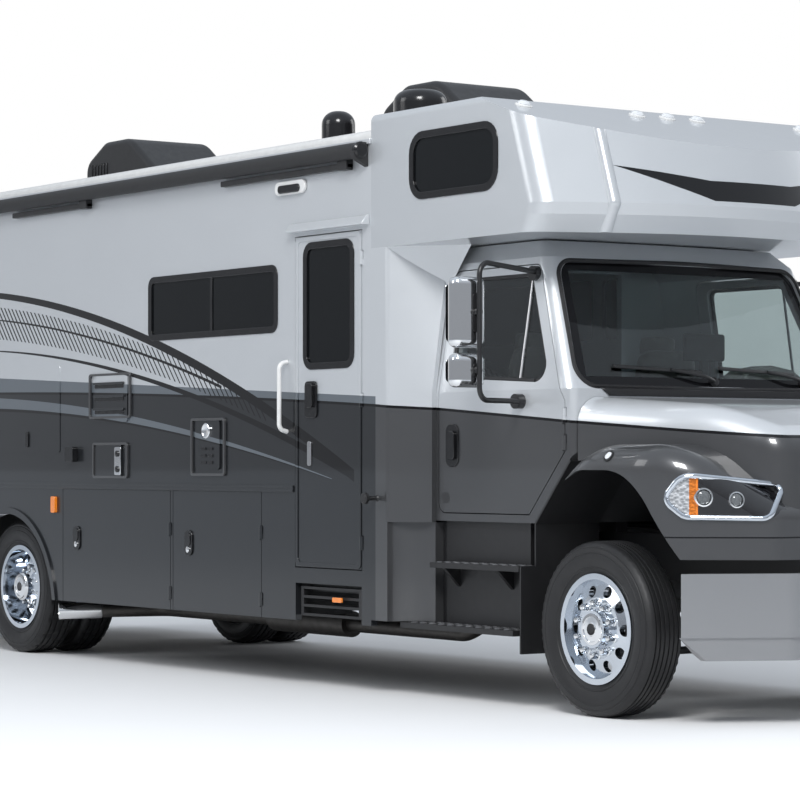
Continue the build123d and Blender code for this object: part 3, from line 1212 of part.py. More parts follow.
gusset_lean = CAB_Y - SCREEN_TOP_Y
gusset_low = Vector(FAIRING_END_X, CAB_Y + FAIRING_T - gusset_lean, CAP_BOTTOM - GUSSET_H)
gusset_out = Vector(FAIRING_X1, WALL_Y, CAP_BOTTOM)
gusset_front = Vector(GUSSET_X, CAB_Y + FAIRING_T - gusset_lean, CAP_BOTTOM)
gusset_normal = (gusset_out - gusset_low).cross(gusset_front - gusset_low)
with BuildPart() as gusset:
    prism_z([
        (gusset_out.X, gusset_out.Y),
        (gusset_front.X, gusset_front.Y),
        (gusset_low.X, gusset_low.Y),
    ], gusset_low.Z, CAP_BOTTOM)
    split(bisect_by=Plane(origin=gusset_low, z_dir=gusset_normal * (1 if gusset_normal.Z > 0 else -1)))

with BuildPart() as cab_fairings:
    sections = [fairing_plan(CAB_BELT_Z, 0), fairing_plan(CAP_BOTTOM, gusset_lean)]
    loft(sections, ruled=True)
    extrude(sections[0], CAB_BELT_Z - FAIRING_SILL_Z, dir=(0, 0, -1))
    add(gusset.part)
    block(CAB_BACK_X, FAIRING_END_X, SCOOP_Y0, WALL_Y, FAIRING_Z0, FAIRING_SILL_Z)
    post(FAIRING_END_X + FAIRING_T, WALL_Y + FAIRING_T, FAIRING_Z0, FAIRING_SILL_Z, SCOOP_R, Mode.SUBTRACT)
    mirror(about=Plane.XZ)
finish(cab_fairings, "cab_fairings")

# Entry step stowed under the stairwell, behind a louvred front
STEP_INSET = 30.0
STEP_Y0 = 900.0
STEP_Y1 = 1200.0
LOUVRE_Y = 1262.0
LOUVRE_T = 16.0
LOUVRES = 4
LOUVRE_Z0 = SKIRT_Z + 30.0
LOUVRE_Z1 = SKIRT_Z + STEP_OPENING_H - 20.0
with BuildPart() as entry_step:
    block(ENTRY_X0 + STEP_INSET, ENTRY_X1 - STEP_INSET, -STEP_Y1, -STEP_Y0, LOUVRE_Z1 - STEP_INSET,
          WELL_FLOOR - WELL_T)
    for end_x in (ENTRY_X0 + STEP_INSET, ENTRY_X1 - 2 * STEP_INSET):
        block(end_x, end_x + STEP_INSET, -LOUVRE_Y, -STEP_Y0, LOUVRE_Z0, LOUVRE_Z1)
    louvre_pitch = (LOUVRE_Z1 - LOUVRE_Z0 - LOUVRE_T) / (LOUVRES - 1)
    for louvre in range(LOUVRES):
        z0 = LOUVRE_Z0 + louvre * louvre_pitch
        block(ENTRY_X0 + STEP_INSET, ENTRY_X1 - STEP_INSET, -LOUVRE_Y, -STEP_Y1, z0, z0 + LOUVRE_T)
finish(entry_step, "entry_step")

# Awning roller with a lead rail and end brackets
AWNING_R = 48.0
AWNING_OUT = 55.0
AWNING_DROP = 65.0
AWNING_Y = WALL_Y + AWNING_OUT
AWNING_Z = WALL_TOP - AWNING_DROP
AWNING_X0 = COACH_REAR_X + 390.0
AWNING_X1 = CAP_SEAM_X - 30.0
AWNING_END = 40.0
with BuildPart() as awning:
    with Locations(Location(((AWNING_X0 + AWNING_X1) / 2, -AWNING_Y, AWNING_Z), (0, 90, 0))):
        Cylinder(AWNING_R, AWNING_X1 - AWNING_X0)
    prism_x([
        (-WALL_Y, AWNING_Z),
        (-AWNING_Y, AWNING_Z + AWNING_R - 2.0),
        (-WALL_Y, AWNING_Z + AWNING_R),
    ], AWNING_X0, AWNING_X1)
    for end_x in (AWNING_X0, AWNING_X1 - AWNING_END):
        prism_x([
            (-WALL_Y, AWNING_Z - 2 * AWNING_R),
            (-WALL_Y, AWNING_Z + AWNING_R),
            (-AWNING_Y - AWNING_R, AWNING_Z + AWNING_R, AWNING_R),
            (-AWNING_Y - AWNING_R, AWNING_Z - AWNING_R, AWNING_R),
        ], end_x, end_x + AWNING_END)
finish(awning, "awning")

# Air conditioners on the roof: rounded shrouds, low at the front
AC_TABLE = [
    # centre x, half length, half width, height
    (CAP_SEAM_X - 760.0, 500.0, 350.0, 366.0),
    (COACH_REAR_X + 2440.0, 520.0, 350.0, 360.0),
]
AC_PLAN_R = 130.0
AC_TOP_R = 45.0
with BuildPart() as air_conditioners:
    for mid_x, half_l, half_w, height in AC_TABLE:
        prism_y([
            (mid_x - half_l, ROOF_TOP),
            (mid_x - half_l, ROOF_TOP + 0.6 * height, AC_PLAN_R),
            (mid_x - 0.45 * half_l, ROOF_TOP + height, AC_PLAN_R),
            (mid_x + 0.25 * half_l, ROOF_TOP + height, 2 * AC_PLAN_R),
            (mid_x + half_l, ROOF_TOP + 0.25 * height, AC_TOP_R),
            (mid_x + half_l, ROOF_TOP),
        ], -half_w, half_w)
    tops = air_conditioners.edges().filter_by(lambda edge: abs(edge.tangent_at(0.5).Y) < 0.5)
    fillet(tops.filter_by(lambda edge: edge.center().Z > ROOF_TOP + 1.0), AC_TOP_R)
finish(air_conditioners, "air_conditioners")

# Vents and antenna domes on the roof
VENT_HALF = 230.0
VENT_H = 140.0
VENT_TAPER = 12.0
VENTS_X = [COACH_REAR_X + 850.0, (AC_TABLE[0][0] + AC_TABLE[1][0]) / 2]
DOMES = [
    # x, y, radius, height, rounding of the top
    (CAP_SEAM_X - 1510.0, -500.0, 110.0, 240.0, 90.0),
    (CAP_SEAM_X - 200.0, -780.0, 165.0, 215.0, 80.0),
]
with BuildPart() as roof_fittings:
    for x in VENTS_X:
        extrude(outline(Plane.XY.offset(ROOF_TOP), rectangle(x - VENT_HALF, x + VENT_HALF, -VENT_HALF, VENT_HALF)),
                VENT_H, dir=(0, 0, 1), taper=VENT_TAPER)
    for x, y, radius, height, rounding in DOMES:
        plane = Plane(origin=(x, y, ROOF_TOP), x_dir=(1, 0, 0), z_dir=(0, -1, 0))
        dome = [(0, 0), (radius, 0), (radius, height, rounding), (0, height)]
        revolve(outline(plane, dome), axis=Axis((x, y, ROOF_TOP), (0, 0, 1)))
finish(roof_fittings, "roof_fittings")

# Tail lamps: tall clusters and high markers
LAMP_T = 25.0
TAIL_Y0 = 1060.0
TAIL_W = 140.0
TAIL_Z0 = FLOOR_TOP - 430.0
TAIL_H = 500.0
MARK_Z0 = WALL_TOP - 120.0
MARK_H = 60.0
with BuildPart() as tail_lamps:
    for side_name, side in SIDES:
        y0, y1 = sorted((side * TAIL_Y0, side * (TAIL_Y0 + TAIL_W)))
        prism_x(rectangle(y0, y1, TAIL_Z0, TAIL_Z0 + TAIL_H, TAIL_W / 4), COACH_REAR_X - LAMP_T,
                COACH_REAR_X)
        prism_x(rectangle(y0, y1, MARK_Z0, MARK_Z0 + MARK_H, MARK_H / 4), COACH_REAR_X - LAMP_T,
                COACH_REAR_X)
finish(tail_lamps, "tail_lamps")

# Rear bumper and hitch receiver
REAR_BUMPER_Y = 1150.0
REAR_BUMPER_H = 140.0
REAR_BUMPER_R = 40.0
with BuildPart() as rear_bumper:
    prism_x(rectangle(-REAR_BUMPER_Y, REAR_BUMPER_Y, REAR_SKIRT_Z, REAR_SKIRT_Z + REAR_BUMPER_H, REAR_BUMPER_R),
            REAR_X, COACH_REAR_X)
finish(rear_bumper, "rear_bumper")

RECEIVER_OUT = 63.5
RECEIVER_IN = 51.0
RECEIVER_L = 320.0
RECEIVER_BAR = 80.0
RECEIVER_STOP = 10.0
HITCH_PIN_R = 8.3
HITCH_PIN_BACK = 70.0
receiver_x1 = REAR_X + RECEIVER_L
half_out = RECEIVER_OUT / 2
half_in = RECEIVER_IN / 2
with BuildPart() as hitch_receiver:
    block(REAR_X, receiver_x1, -half_out, half_out, RECEIVER_Z - half_out, RECEIVER_Z + half_out)
    block(receiver_x1 - RECEIVER_BAR, receiver_x1, -RAIL_OUT_Y, RAIL_OUT_Y, RECEIVER_Z - half_out,
          RECEIVER_Z + half_out)
    for side_name, side in SIDES:
        block(receiver_x1 - RECEIVER_BAR, receiver_x1, side * RAIL_IN_Y, side * RAIL_OUT_Y, RECEIVER_Z,
              RAIL_BOTTOM)
    block(REAR_X, receiver_x1 - RECEIVER_BAR - RECEIVER_STOP, -half_in, half_in,
          RECEIVER_Z - half_in, RECEIVER_Z + half_in, Mode.SUBTRACT)
    bar_y(REAR_X + HITCH_PIN_BACK, -RECEIVER_OUT, RECEIVER_OUT, RECEIVER_Z, HITCH_PIN_R, Mode.SUBTRACT)
finish(hitch_receiver, "hitch_receiver")

# Exhaust under the right side, with a silencer, two hangers and an outward tip
EXHAUST_R = 50.0
EXHAUST_BEND_R = 140.0
EXHAUST_Y = 560.0
EXHAUST_Z = 340.0
EXHAUST_START_Y = 300.0
SILENCER_R = 85.0
SILENCER_L = 900.0
HANGER_T = 30.0
exhaust_out_x = REAR_AXLE_X + ARCH_R + 360.0
front_hanger_x = GEARBOX_X0 - 330.0
rear_hanger_x = exhaust_out_x + 580.0
with BuildPart() as exhaust:
    tube_along([
        (GEARBOX_X0 - 40.0, -EXHAUST_START_Y, SHAFT_Z),
        (GEARBOX_X0 - 450.0, -EXHAUST_START_Y, SHAFT_Z),
        (GEARBOX_X0 - 850.0, -EXHAUST_Y, EXHAUST_Z),
        (exhaust_out_x, -EXHAUST_Y, EXHAUST_Z),
        (exhaust_out_x - 350.0, -WALL_Y + 42.0, EXHAUST_Z - 10.0),
    ], EXHAUST_R, EXHAUST_BEND_R)
    with Locations(Location((CAP_SEAM_X - 1710.0, -EXHAUST_Y, EXHAUST_Z), (0, 90, 0))):
        Cylinder(SILENCER_R, SILENCER_L)
    block(front_hanger_x, front_hanger_x + HANGER_T, -RAIL_OUT_Y, -EXHAUST_START_Y, SHAFT_Z, RAIL_BOTTOM)
    block(rear_hanger_x, rear_hanger_x + HANGER_T, -RAIL_OUT_Y, -RAIL_IN_Y, EXHAUST_Z, RAIL_BOTTOM)
    block(rear_hanger_x, rear_hanger_x + HANGER_T, -EXHAUST_Y, -RAIL_IN_Y, EXHAUST_Z, EXHAUST_Z + HANGER_T)
finish(exhaust, "exhaust")

# Service panels and the grab handle on the right wall
PANEL_R = 25.0
PANEL_TABLE = [
    # centre x, centre z, width, height, thickness
    (CAP_SEAM_X - 3100.0, 1820.0, 430.0, 330.0, 12.0),
    (CAP_SEAM_X - 3145.0, 1390.0, 360.0, 230.0, 12.0),
    (CAP_SEAM_X - 1847.0, 1495.0, 300.0, 320.0, 12.0),
    (REAR_AXLE_X + 290.0, 1758.0, 1000.0, 617.0, 4.0),
]
with BuildPart() as service_panels:
    for mid_x, mid_z, width, height, thickness in PANEL_TABLE:
        prism_y(rectangle(mid_x - width / 2, mid_x + width / 2, mid_z - height / 2, mid_z + height / 2, PANEL_R),
                -WALL_Y - thickness, -WALL_Y)
finish(service_panels, "service_panels")

HANDLE_R = 14.0
HANDLE_OUT = 60.0
HANDLE_BEND_R = 45.0
HANDLE_X = ENTRY_X0 - 95.0
HANDLE_Z0 = ENTRY_Z0 + 831.0
HANDLE_L = 433.0
with BuildPart() as grab_handle:
    tube_along([
        (HANDLE_X, -WALL_Y, HANDLE_Z0),
        (HANDLE_X, -WALL_Y - HANDLE_OUT, HANDLE_Z0 + HANDLE_R),
        (HANDLE_X, -WALL_Y - HANDLE_OUT, HANDLE_Z0 + HANDLE_L - HANDLE_R),
        (HANDLE_X, -WALL_Y, HANDLE_Z0 + HANDLE_L),
    ], HANDLE_R, HANDLE_BEND_R)
    block(-FAR, FAR, -WIDE, -WALL_Y, 0, TALL, Mode.INTERSECT)
finish(grab_handle, "grab_handle")

# Steering knuckles and tie rod
ARM_Z1 = BOSS_Z0 - YOKE_GAP
ARM_Z0 = ARM_Z1 - YOKE_T
YOKE_Z0 = BOSS_Z1 + YOKE_GAP
YOKE_Z1 = YOKE_Z0 + YOKE_T
TIE_X = FRONT_AXLE_X - ARM_LENGTH
TIE_Z = ARM_Z0 - RUN_GAP - TIE_EYE_R
for side_name, side in SIDES:
    pin_y = side * KINGPIN_Y
    yoke_in = side * (KINGPIN_Y - YOKE_HALF_W)
    yoke_out = side * (KINGPIN_Y + YOKE_OUT)
    web_in = side * (KINGPIN_Y + YOKE_OUT - YOKE_WEB)
    with BuildPart() as knuckle:
        block(FRONT_AXLE_X - YOKE_HALF_W, FRONT_AXLE_X + YOKE_HALF_W, yoke_in, yoke_out, YOKE_Z0, YOKE_Z1)
        block(FRONT_AXLE_X - YOKE_HALF_W, FRONT_AXLE_X + YOKE_HALF_W, yoke_in, yoke_out, ARM_Z0, ARM_Z1)
        block(FRONT_AXLE_X - YOKE_HALF_W, FRONT_AXLE_X + YOKE_HALF_W, web_in, yoke_out, ARM_Z0, YOKE_Z1)
        post(FRONT_AXLE_X, pin_y, ARM_Z0, YOKE_Z1, KINGPIN_R)
        block(TIE_X, FRONT_AXLE_X, pin_y - ARM_HALF_W, pin_y + ARM_HALF_W, ARM_Z0, ARM_Z1)
        post(TIE_X, pin_y, ARM_Z0, ARM_Z1, ARM_HALF_W)
        post(TIE_X, pin_y, TIE_Z - TIE_EYE_R, ARM_Z0, TIE_PIN_R)
        bar_y(FRONT_AXLE_X, web_in, side * SPINDLE_END_Y, AXLE_Z, SPINDLE_R)
    finish(knuckle, "knuckle_" + side_name)

with BuildPart() as tie_rod:
    bar_y(TIE_X, -KINGPIN_Y, KINGPIN_Y, TIE_Z, TIE_ROD_R)
    for side_name, side in SIDES:
        post(TIE_X, side * KINGPIN_Y, TIE_Z - TIE_EYE_R, TIE_Z + TIE_EYE_R, TIE_EYE_R)
        post(TIE_X, side * KINGPIN_Y, TIE_Z - 2 * TIE_EYE_R, TIE_Z + 2 * TIE_EYE_R, TIE_PIN_R + RUN_GAP,
             Mode.SUBTRACT)
finish(tie_rod, "tie_rod")


# Wheels and tyres


def tyre_profile(y):
    """Radius and width outline of one tyre about its middle plane."""
    bead = BEAD_R + RUN_GAP
    bead_half = RIM_HALF_W - RIM_LIP - SEAT_GAP
    half = TYRE_W / 2
    return [
        (bead, y - bead_half), (RIM_EDGE_R + SEAT_GAP, y - bead_half), (SIDEWALL_R, y - half),
        (SHOULDER_R, y - half + 8.0), (TYRE_R, y - TREAD_HALF_W), (TYRE_R, y + TREAD_HALF_W),
        (SHOULDER_R, y + half - 8.0), (SIDEWALL_R, y + half), (RIM_EDGE_R + SEAT_GAP, y + bead_half),
        (bead, y + bead_half),
    ]


def rim_profile(y):
    """Barrel of one wheel with its two edges."""
    seat = RIM_HALF_W - RIM_LIP
    return [
        (BEAD_R - RIM_T, y - RIM_HALF_W), (RIM_EDGE_R, y - RIM_HALF_W), (RIM_EDGE_R, y - seat),
        (BEAD_R, y - seat), (BEAD_R, y + seat), (RIM_EDGE_R, y + seat), (RIM_EDGE_R, y + RIM_HALF_W),
        (BEAD_R - RIM_T, y + RIM_HALF_W),
    ]


def hand_holes(x, y, z):
    """A ring of holes through the disc."""
    ring = Plane(origin=(x, y, z), x_dir=(1, 0, 0), z_dir=(0, 1, 0))
    with Locations(ring):
        with PolarLocations(HAND_HOLE_PCD / 2, HAND_HOLES):
            Cylinder(HAND_HOLE_R, 2 * TYRE_W, mode=Mode.SUBTRACT)


disc_r = BEAD_R - RIM_T + 2.0
cap_r = HUB_R - 10.0
flange_r = HUB_R + FLANGE_W
disc_y = FRONT_WHEEL_Y + DISC_OUT
dual_dish = DISC_OUT + DISC_T
for side_name, side in SIDES:
    with BuildPart() as tyre_front:
        turned(FRONT_AXLE_X, AXLE_Z, tyre_profile(side * FRONT_WHEEL_Y))
    finish(tyre_front, "tyre_front_" + side_name)

    bore = SPINDLE_R + RUN_GAP
    hub_bottom = SPINDLE_END_Y + RUN_GAP
    with BuildPart() as wheel_front:
        turned(FRONT_AXLE_X, AXLE_Z, [(r, side * y) for r, y in [
            (bore, disc_y - HUB_REACH), (HUB_R, disc_y - HUB_REACH), (HUB_R, disc_y),
            (disc_r, disc_y - DISC_DISH), (disc_r, disc_y - DISC_DISH + DISC_T),
            (flange_r, disc_y + DISC_T), (HUB_R, disc_y + DISC_T),
            (cap_r, disc_y + HUB_REACH), (0, disc_y + HUB_REACH), (0, hub_bottom), (bore, hub_bottom),
        ]])
        turned(FRONT_AXLE_X, AXLE_Z, rim_profile(side * FRONT_WHEEL_Y))
        hand_holes(FRONT_AXLE_X, side * disc_y, AXLE_Z)
    finish(wheel_front, "wheel_front_" + side_name)

    with BuildPart() as tyres_rear:
        for place in (-1, 1):
            turned(REAR_AXLE_X, AXLE_Z, tyre_profile(side * (DUAL_MID_Y + place * DUAL_HALF_SPACING)))
    finish(tyres_rear, "tyres_rear_" + side_name)

    bore = REAR_SPINDLE_R + RUN_GAP
    hub_bottom = REAR_SPINDLE_Y + RUN_GAP
    with BuildPart() as wheels_rear:
        turned(REAR_AXLE_X, AXLE_Z, [(r, side * y) for r, y in [
            (bore, DUAL_MID_Y - FLANGE_W), (HUB_R, DUAL_MID_Y - FLANGE_W), (HUB_R, DUAL_MID_Y - DISC_T),
            (flange_r, DUAL_MID_Y - DISC_T), (disc_r, DUAL_MID_Y - dual_dish),
            (disc_r, DUAL_MID_Y - DISC_OUT), (flange_r + DISC_T, DUAL_MID_Y),
            (disc_r, DUAL_MID_Y + DISC_OUT), (disc_r, DUAL_MID_Y + dual_dish),
            (flange_r, DUAL_MID_Y + DISC_T), (HUB_R, DUAL_MID_Y + DISC_T),
            (cap_r, DUAL_MID_Y + 2 * HUB_REACH), (0, DUAL_MID_Y + 2 * HUB_REACH),
            (0, hub_bottom), (bore, hub_bottom),
        ]])
        for place in (-1, 1):
            turned(REAR_AXLE_X, AXLE_Z, rim_profile(side * (DUAL_MID_Y + place * DUAL_HALF_SPACING)))
        hand_holes(REAR_AXLE_X, side * DUAL_MID_Y, AXLE_Z)
    finish(wheels_rear, "wheels_rear_" + side_name)
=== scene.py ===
"""Looks of the motorhome: paint scheme, glass, trim, lamps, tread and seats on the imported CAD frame.

Metres, in the frame's own axes: X forward, Y to the vehicle's left, Z up.
"""

import math

import bmesh
import bpy
from mathutils import Matrix, Vector


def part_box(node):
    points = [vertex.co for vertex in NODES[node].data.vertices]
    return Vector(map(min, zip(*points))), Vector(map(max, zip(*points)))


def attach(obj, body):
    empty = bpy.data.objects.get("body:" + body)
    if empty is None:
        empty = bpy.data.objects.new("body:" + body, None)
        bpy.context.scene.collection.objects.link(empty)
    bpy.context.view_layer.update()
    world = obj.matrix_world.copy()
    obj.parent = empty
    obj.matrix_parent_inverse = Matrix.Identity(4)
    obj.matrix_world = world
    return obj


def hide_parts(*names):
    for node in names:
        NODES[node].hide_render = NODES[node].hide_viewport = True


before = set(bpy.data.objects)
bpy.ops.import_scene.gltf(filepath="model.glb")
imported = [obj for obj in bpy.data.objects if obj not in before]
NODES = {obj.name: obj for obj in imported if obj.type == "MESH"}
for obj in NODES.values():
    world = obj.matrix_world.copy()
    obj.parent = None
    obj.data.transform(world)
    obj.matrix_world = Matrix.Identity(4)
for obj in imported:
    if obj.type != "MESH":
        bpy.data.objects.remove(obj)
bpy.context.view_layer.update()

SIDES = [("right", -1.0), ("left", 1.0)]
FORWARD = Vector((1, 0, 0))
LEFT = Vector((0, 1, 0))
UP = Vector((0, 0, 1))

# Where rays start, outside the vehicle
AHEAD = 6.0
ASIDE = 3.0
ABOVE = 5.0

# Colours, as linear values
SILVER = (0.58, 0.60, 0.62)
CAP_SILVER = (0.49, 0.51, 0.53)
BAND_GREY = (0.150, 0.170, 0.190)
CHARCOAL = (0.024, 0.026, 0.029)
CAB_GREY = (0.072, 0.073, 0.076)
BLACK = (0.004, 0.004, 0.005)
SATIN_BLACK = (0.012, 0.012, 0.013)
TYRE_BLACK = (0.013, 0.013, 0.014)
PRINT_BLACK = (0.006, 0.006, 0.007)
BUMPER_GREY = (0.27, 0.275, 0.285)
AMBER = (0.75, 0.20, 0.01)
RED = (0.35, 0.008, 0.008)
SCREEN_TINT = (0.50, 0.57, 0.57)
FLOOR_WHITE = (0.82, 0.82, 0.82)
TENT_LOW = (0.28, 0.29, 0.31)
TENT_HIGH = (0.66, 0.72, 0.80)
WHITE = (1.0, 1.0, 1.0)


def centre(node):
    """Middle of a CAD node's box."""
    low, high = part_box(node)
    return (low + high) / 2


def both(stem):
    """A name for each side."""
    return [stem + side_name for side_name, side in SIDES]


# Sizes read from the frame
WALL_Y = -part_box("coach_wall_rear")[0].y
WALL_LOW, WALL_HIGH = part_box("coach_wall_right")
ENTRY_LOW, ENTRY_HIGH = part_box("entry_door")
FRONT_AXLE_X = centre("tyre_front_right").x
REAR_AXLE_X = centre("tyres_rear_right").x


class Graph:
    """Short calls that add nodes to a tree, over one kind of coordinates."""

    def __init__(self, tree, coordinates):
        self.tree = tree
        self.place = tree.nodes.new("ShaderNodeTexCoord").outputs[coordinates]
        self.x, self.y, self.z = self.add("SeparateXYZ", {0: self.place}).outputs

    def link(self, value, socket):
        """Feed a socket from another node, or set its own value."""
        if isinstance(value, bpy.types.NodeSocket):
            self.tree.links.new(value, socket)
        else:
            socket.default_value = value

    def add(self, kind, inputs, **settings):
        """A node with its settings, and its inputs by name or number."""
        node = self.tree.nodes.new("ShaderNode" + kind)
        for name, value in settings.items():
            setattr(node, name, value)
        for key, value in inputs.items():
            self.link(value, node.inputs[key])
        return node

    def math(self, operation, *values):
        return self.add("Math", dict(enumerate(values)), operation=operation).outputs[0]

    def times(self, first, second):
        return self.math("MULTIPLY", first, second)

    def less(self, first, second):
        return self.math("LESS_THAN", first, second)

    def more(self, first, second):
        return self.math("GREATER_THAN", first, second)

    def apart(self, first, second):
        return self.math("ABSOLUTE", self.math("SUBTRACT", first, second))

    def line(self, value, slope, base):
        return self.math("MULTIPLY_ADD", value, slope, base)

    def within(self, value, low, high):
        return self.times(self.more(value, low), self.less(value, high))

    def mix(self, share, first, second):
        first, second = ((*value, 1.0) if isinstance(value, tuple) else value for value in (first, second))
        return self.add("Mix", {0: share, 6: first, 7: second}, data_type="RGBA").outputs[2]

    def noise(self, scale, detail=3.0):
        return self.add("TexNoise", {"Vector": self.place, "Scale": scale, "Detail": detail}).outputs[0]

    def cells(self, scale):
        return self.add("TexVoronoi", {"Vector": self.place, "Scale": scale}).outputs["Distance"]

    def spread(self, value, low, high):
        """Map a value from 0 to 1 onto a range."""
        return self.add("MapRange", {"Value": value, "To Min": low, "To Max": high}).outputs["Result"]

    def ramp(self, value, low, high):
        """0 below low, 1 above high."""
        return self.add("MapRange", {"Value": value, "From Min": low, "From Max": high}).outputs["Result"]

    def curve(self, points):
        """Height of the parabola through three (x, z) points, over the surface's own x."""
        (x0, z0), (x1, z1), (x2, z2) = points
        second = ((z2 - z0) / (x2 - x0) - (z1 - z0) / (x1 - x0)) / (x2 - x1)
        first = (z1 - z0) / (x1 - x0) - second * (x0 + x1)
        constant = z0 - first * x0 - second * x0 * x0
        return self.line(self.line(self.x, second, first), self.x, constant)

    def swoosh(self, points, thick_rear, thick_front, run_out):
        """Mask of a tapering band along a parabola. Behind its points it thins out over the run-out."""
        rear, front = points[0][0], points[-1][0]
        half = self.line(self.ramp(self.x, rear, front), (thick_front - thick_rear) / 2, thick_rear / 2)
        if run_out:
            half = self.times(half, self.ramp(self.x, rear - run_out, rear))
        band = self.less(self.apart(self.z, self.curve(points)), half)
        return self.times(band, self.within(self.x, rear - run_out, front))


class Surface(Graph):
    """A material. What is the same all over it is set on the shader's own sockets."""

    def __init__(self, name, colour, roughness, metallic=0.0, sockets=None):
        self.material = bpy.data.materials.new(name)
        self.material.use_nodes = True
        self.material.diffuse_color = (*colour, 1.0)
        super().__init__(self.material.node_tree, "Object")
        self.shader = self.tree.nodes["Principled BSDF"]
        own = {"Base Color": (*colour, 1.0), "Roughness": roughness, "Metallic": metallic}
        for socket, value in {**own, **(sockets or {})}.items():
            self.set(socket, value)

    def set(self, socket, value):
        self.link(value, self.shader.inputs[socket])

    def vary(self, colour, share, scale):
        """Make a colour up to a share darker or lighter from place to place."""
        factor = self.spread(self.noise(scale), 1.0 - share, 1.0 + share)
        scaled = self.add("VectorMath", {0: colour, "Scale": factor}, operation="SCALE")
        self.set("Base Color", scaled.outputs[0])

    def rough(self, low, high, scale):
        self.set("Roughness", self.spread(self.noise(scale), low, high))

    def bump(self, height, strength, distance):
        inputs = {"Height": height, "Strength": strength, "Distance": distance}
        self.set("Normal", self.add("Bump", inputs).outputs["Normal"])


# Paint scheme of the sides, the same left and right: x and z of each line
BAND_TOP = [(-2.66, 1.994), (0.0, 1.872), (2.40, 1.761)]
PIN_LINE = [(-2.66, 1.883), (0.04, 1.813), (2.40, 1.705)]
CAB_LINE = [(2.10, 1.722), (3.10, 1.652), (4.70, 1.535)]
PIN_HALF = 0.008
GREY_SWOOSHES = [
    # line, width at its rear and front ends, length over which it thins out behind, colour
    ([(-2.66, 1.806), (-0.12, 1.592), (1.69, 1.281)], 0.085, 0.004, 1.9, BAND_GREY),
    ([(-2.66, 1.762), (-0.12, 1.568), (1.69, 1.277)], 0.022, 0.004, 1.9, BLACK),
]
BLACK_ARCS = [
    # the same columns
    ([(-4.60, 2.640), (-1.14, 2.352), (1.93, 1.300)], 0.030, 0.075, 0.0, BLACK),
    ([(-2.42, 2.394), (-0.79, 2.148), (0.42, 1.863)], 0.012, 0.020, 1.0, BLACK),
    ([(-2.42, 2.176), (-0.69, 1.964), (1.93, 1.296)], 0.012, 0.050, 1.5, BLACK),
]

# Slanted hatching between the arcs. Its widths are shares of the pitch.
HATCH_TOP = [(-4.40, 2.590), (-0.45, 2.145), (0.95, 1.760)]
HATCH_LOW = [(-4.40, 2.330), (-0.62, 2.005), (0.95, 1.640)]
HATCH_PITCH = 0.052
HATCH_LEAN = 0.85
HATCH_WIDE = 0.36
HATCH_NARROW = 0.24
HATCH_FULL_X = -2.8
HATCH_TAPER_X = -2.6

# Seam round the nose under the hood's lamps
NOSE_SEAM_Z = 0.987
NOSE_SEAM_X = 4.60
NOSE_SEAM_HALF = 0.004

# Pennant on the cap: where it starts to narrow and ends, its middle, its rise to the tips and its half height
PENNANT_Y0 = 0.30
PENNANT_Y1 = 0.86
PENNANT_Z = 2.895
PENNANT_RISE = 0.13
PENNANT_HALF = 0.058
PENNANT_X = 3.80

COAT = {"Coat Weight": 0.75, "Coat Roughness": 0.03, "Specular IOR Level": 0.12}


def lacquer(graph, colour):
    """Metallic lacquer: flakes, a faint orange peel and a clear coat."""
    graph.vary(colour, 0.05, 900.0)
    graph.rough(0.26, 0.36, 3.0)
    graph.bump(graph.noise(180.0, 1.0), 0.02, 0.002)
    return graph.material


def hatching(graph):
    """Mask of the slanted lines, which thin out towards both ends."""
    rear, front = HATCH_TOP[0][0], HATCH_TOP[-1][0]
    slant = graph.line(graph.z, HATCH_LEAN, graph.x)
    width = graph.line(graph.ramp(graph.x, HATCH_TAPER_X, front), HATCH_NARROW - HATCH_WIDE, HATCH_WIDE)
    width = graph.times(width, graph.ramp(graph.x, rear, HATCH_FULL_X))
    field = graph.less(graph.math("FRACT", graph.math("DIVIDE", slant, HATCH_PITCH)), width)
    field = graph.times(field, graph.less(graph.z, graph.curve(HATCH_TOP)))
    field = graph.times(field, graph.more(graph.z, graph.curve(HATCH_LOW)))
    return graph.times(field, graph.within(graph.x, rear, front))


def coach_livery():
    """Silver over charcoal with a grey band, a pinstripe, hatching and swooshes."""
    graph = Surface("coach_livery", SILVER, 0.3, 0.45, COAT)
    pin = graph.curve(PIN_LINE)
    colour = graph.mix(graph.less(graph.z, pin), SILVER, CHARCOAL)
    band = graph.times(graph.less(graph.z, graph.curve(BAND_TOP)), graph.more(graph.z, pin))
    colour = graph.mix(band, colour, BAND_GREY)
    for *swoosh, shade in GREY_SWOOSHES:
        colour = graph.mix(graph.swoosh(*swoosh), colour, shade)
    colour = graph.mix(graph.less(graph.apart(graph.z, pin), PIN_HALF), colour, BLACK)
    colour = graph.mix(hatching(graph), colour, BLACK)
    for *arc, shade in BLACK_ARCS:
        colour = graph.mix(graph.swoosh(*arc), colour, shade)
    return lacquer(graph, colour)


def cab_livery():
    """Silver over grey with a pinstripe, and the seam round the nose."""
    graph = Surface("cab_livery", SILVER, 0.3, 0.45, COAT)
    pin = graph.curve(CAB_LINE)
    colour = graph.mix(graph.less(graph.z, pin), SILVER, CAB_GREY)
    colour = graph.mix(graph.less(graph.apart(graph.z, pin), PIN_HALF), colour, BLACK)
    seam = graph.less(graph.apart(graph.z, NOSE_SEAM_Z), NOSE_SEAM_HALF)
    seam = graph.times(seam, graph.more(graph.x, NOSE_SEAM_X))
    return lacquer(graph, graph.mix(seam, colour, BLACK))


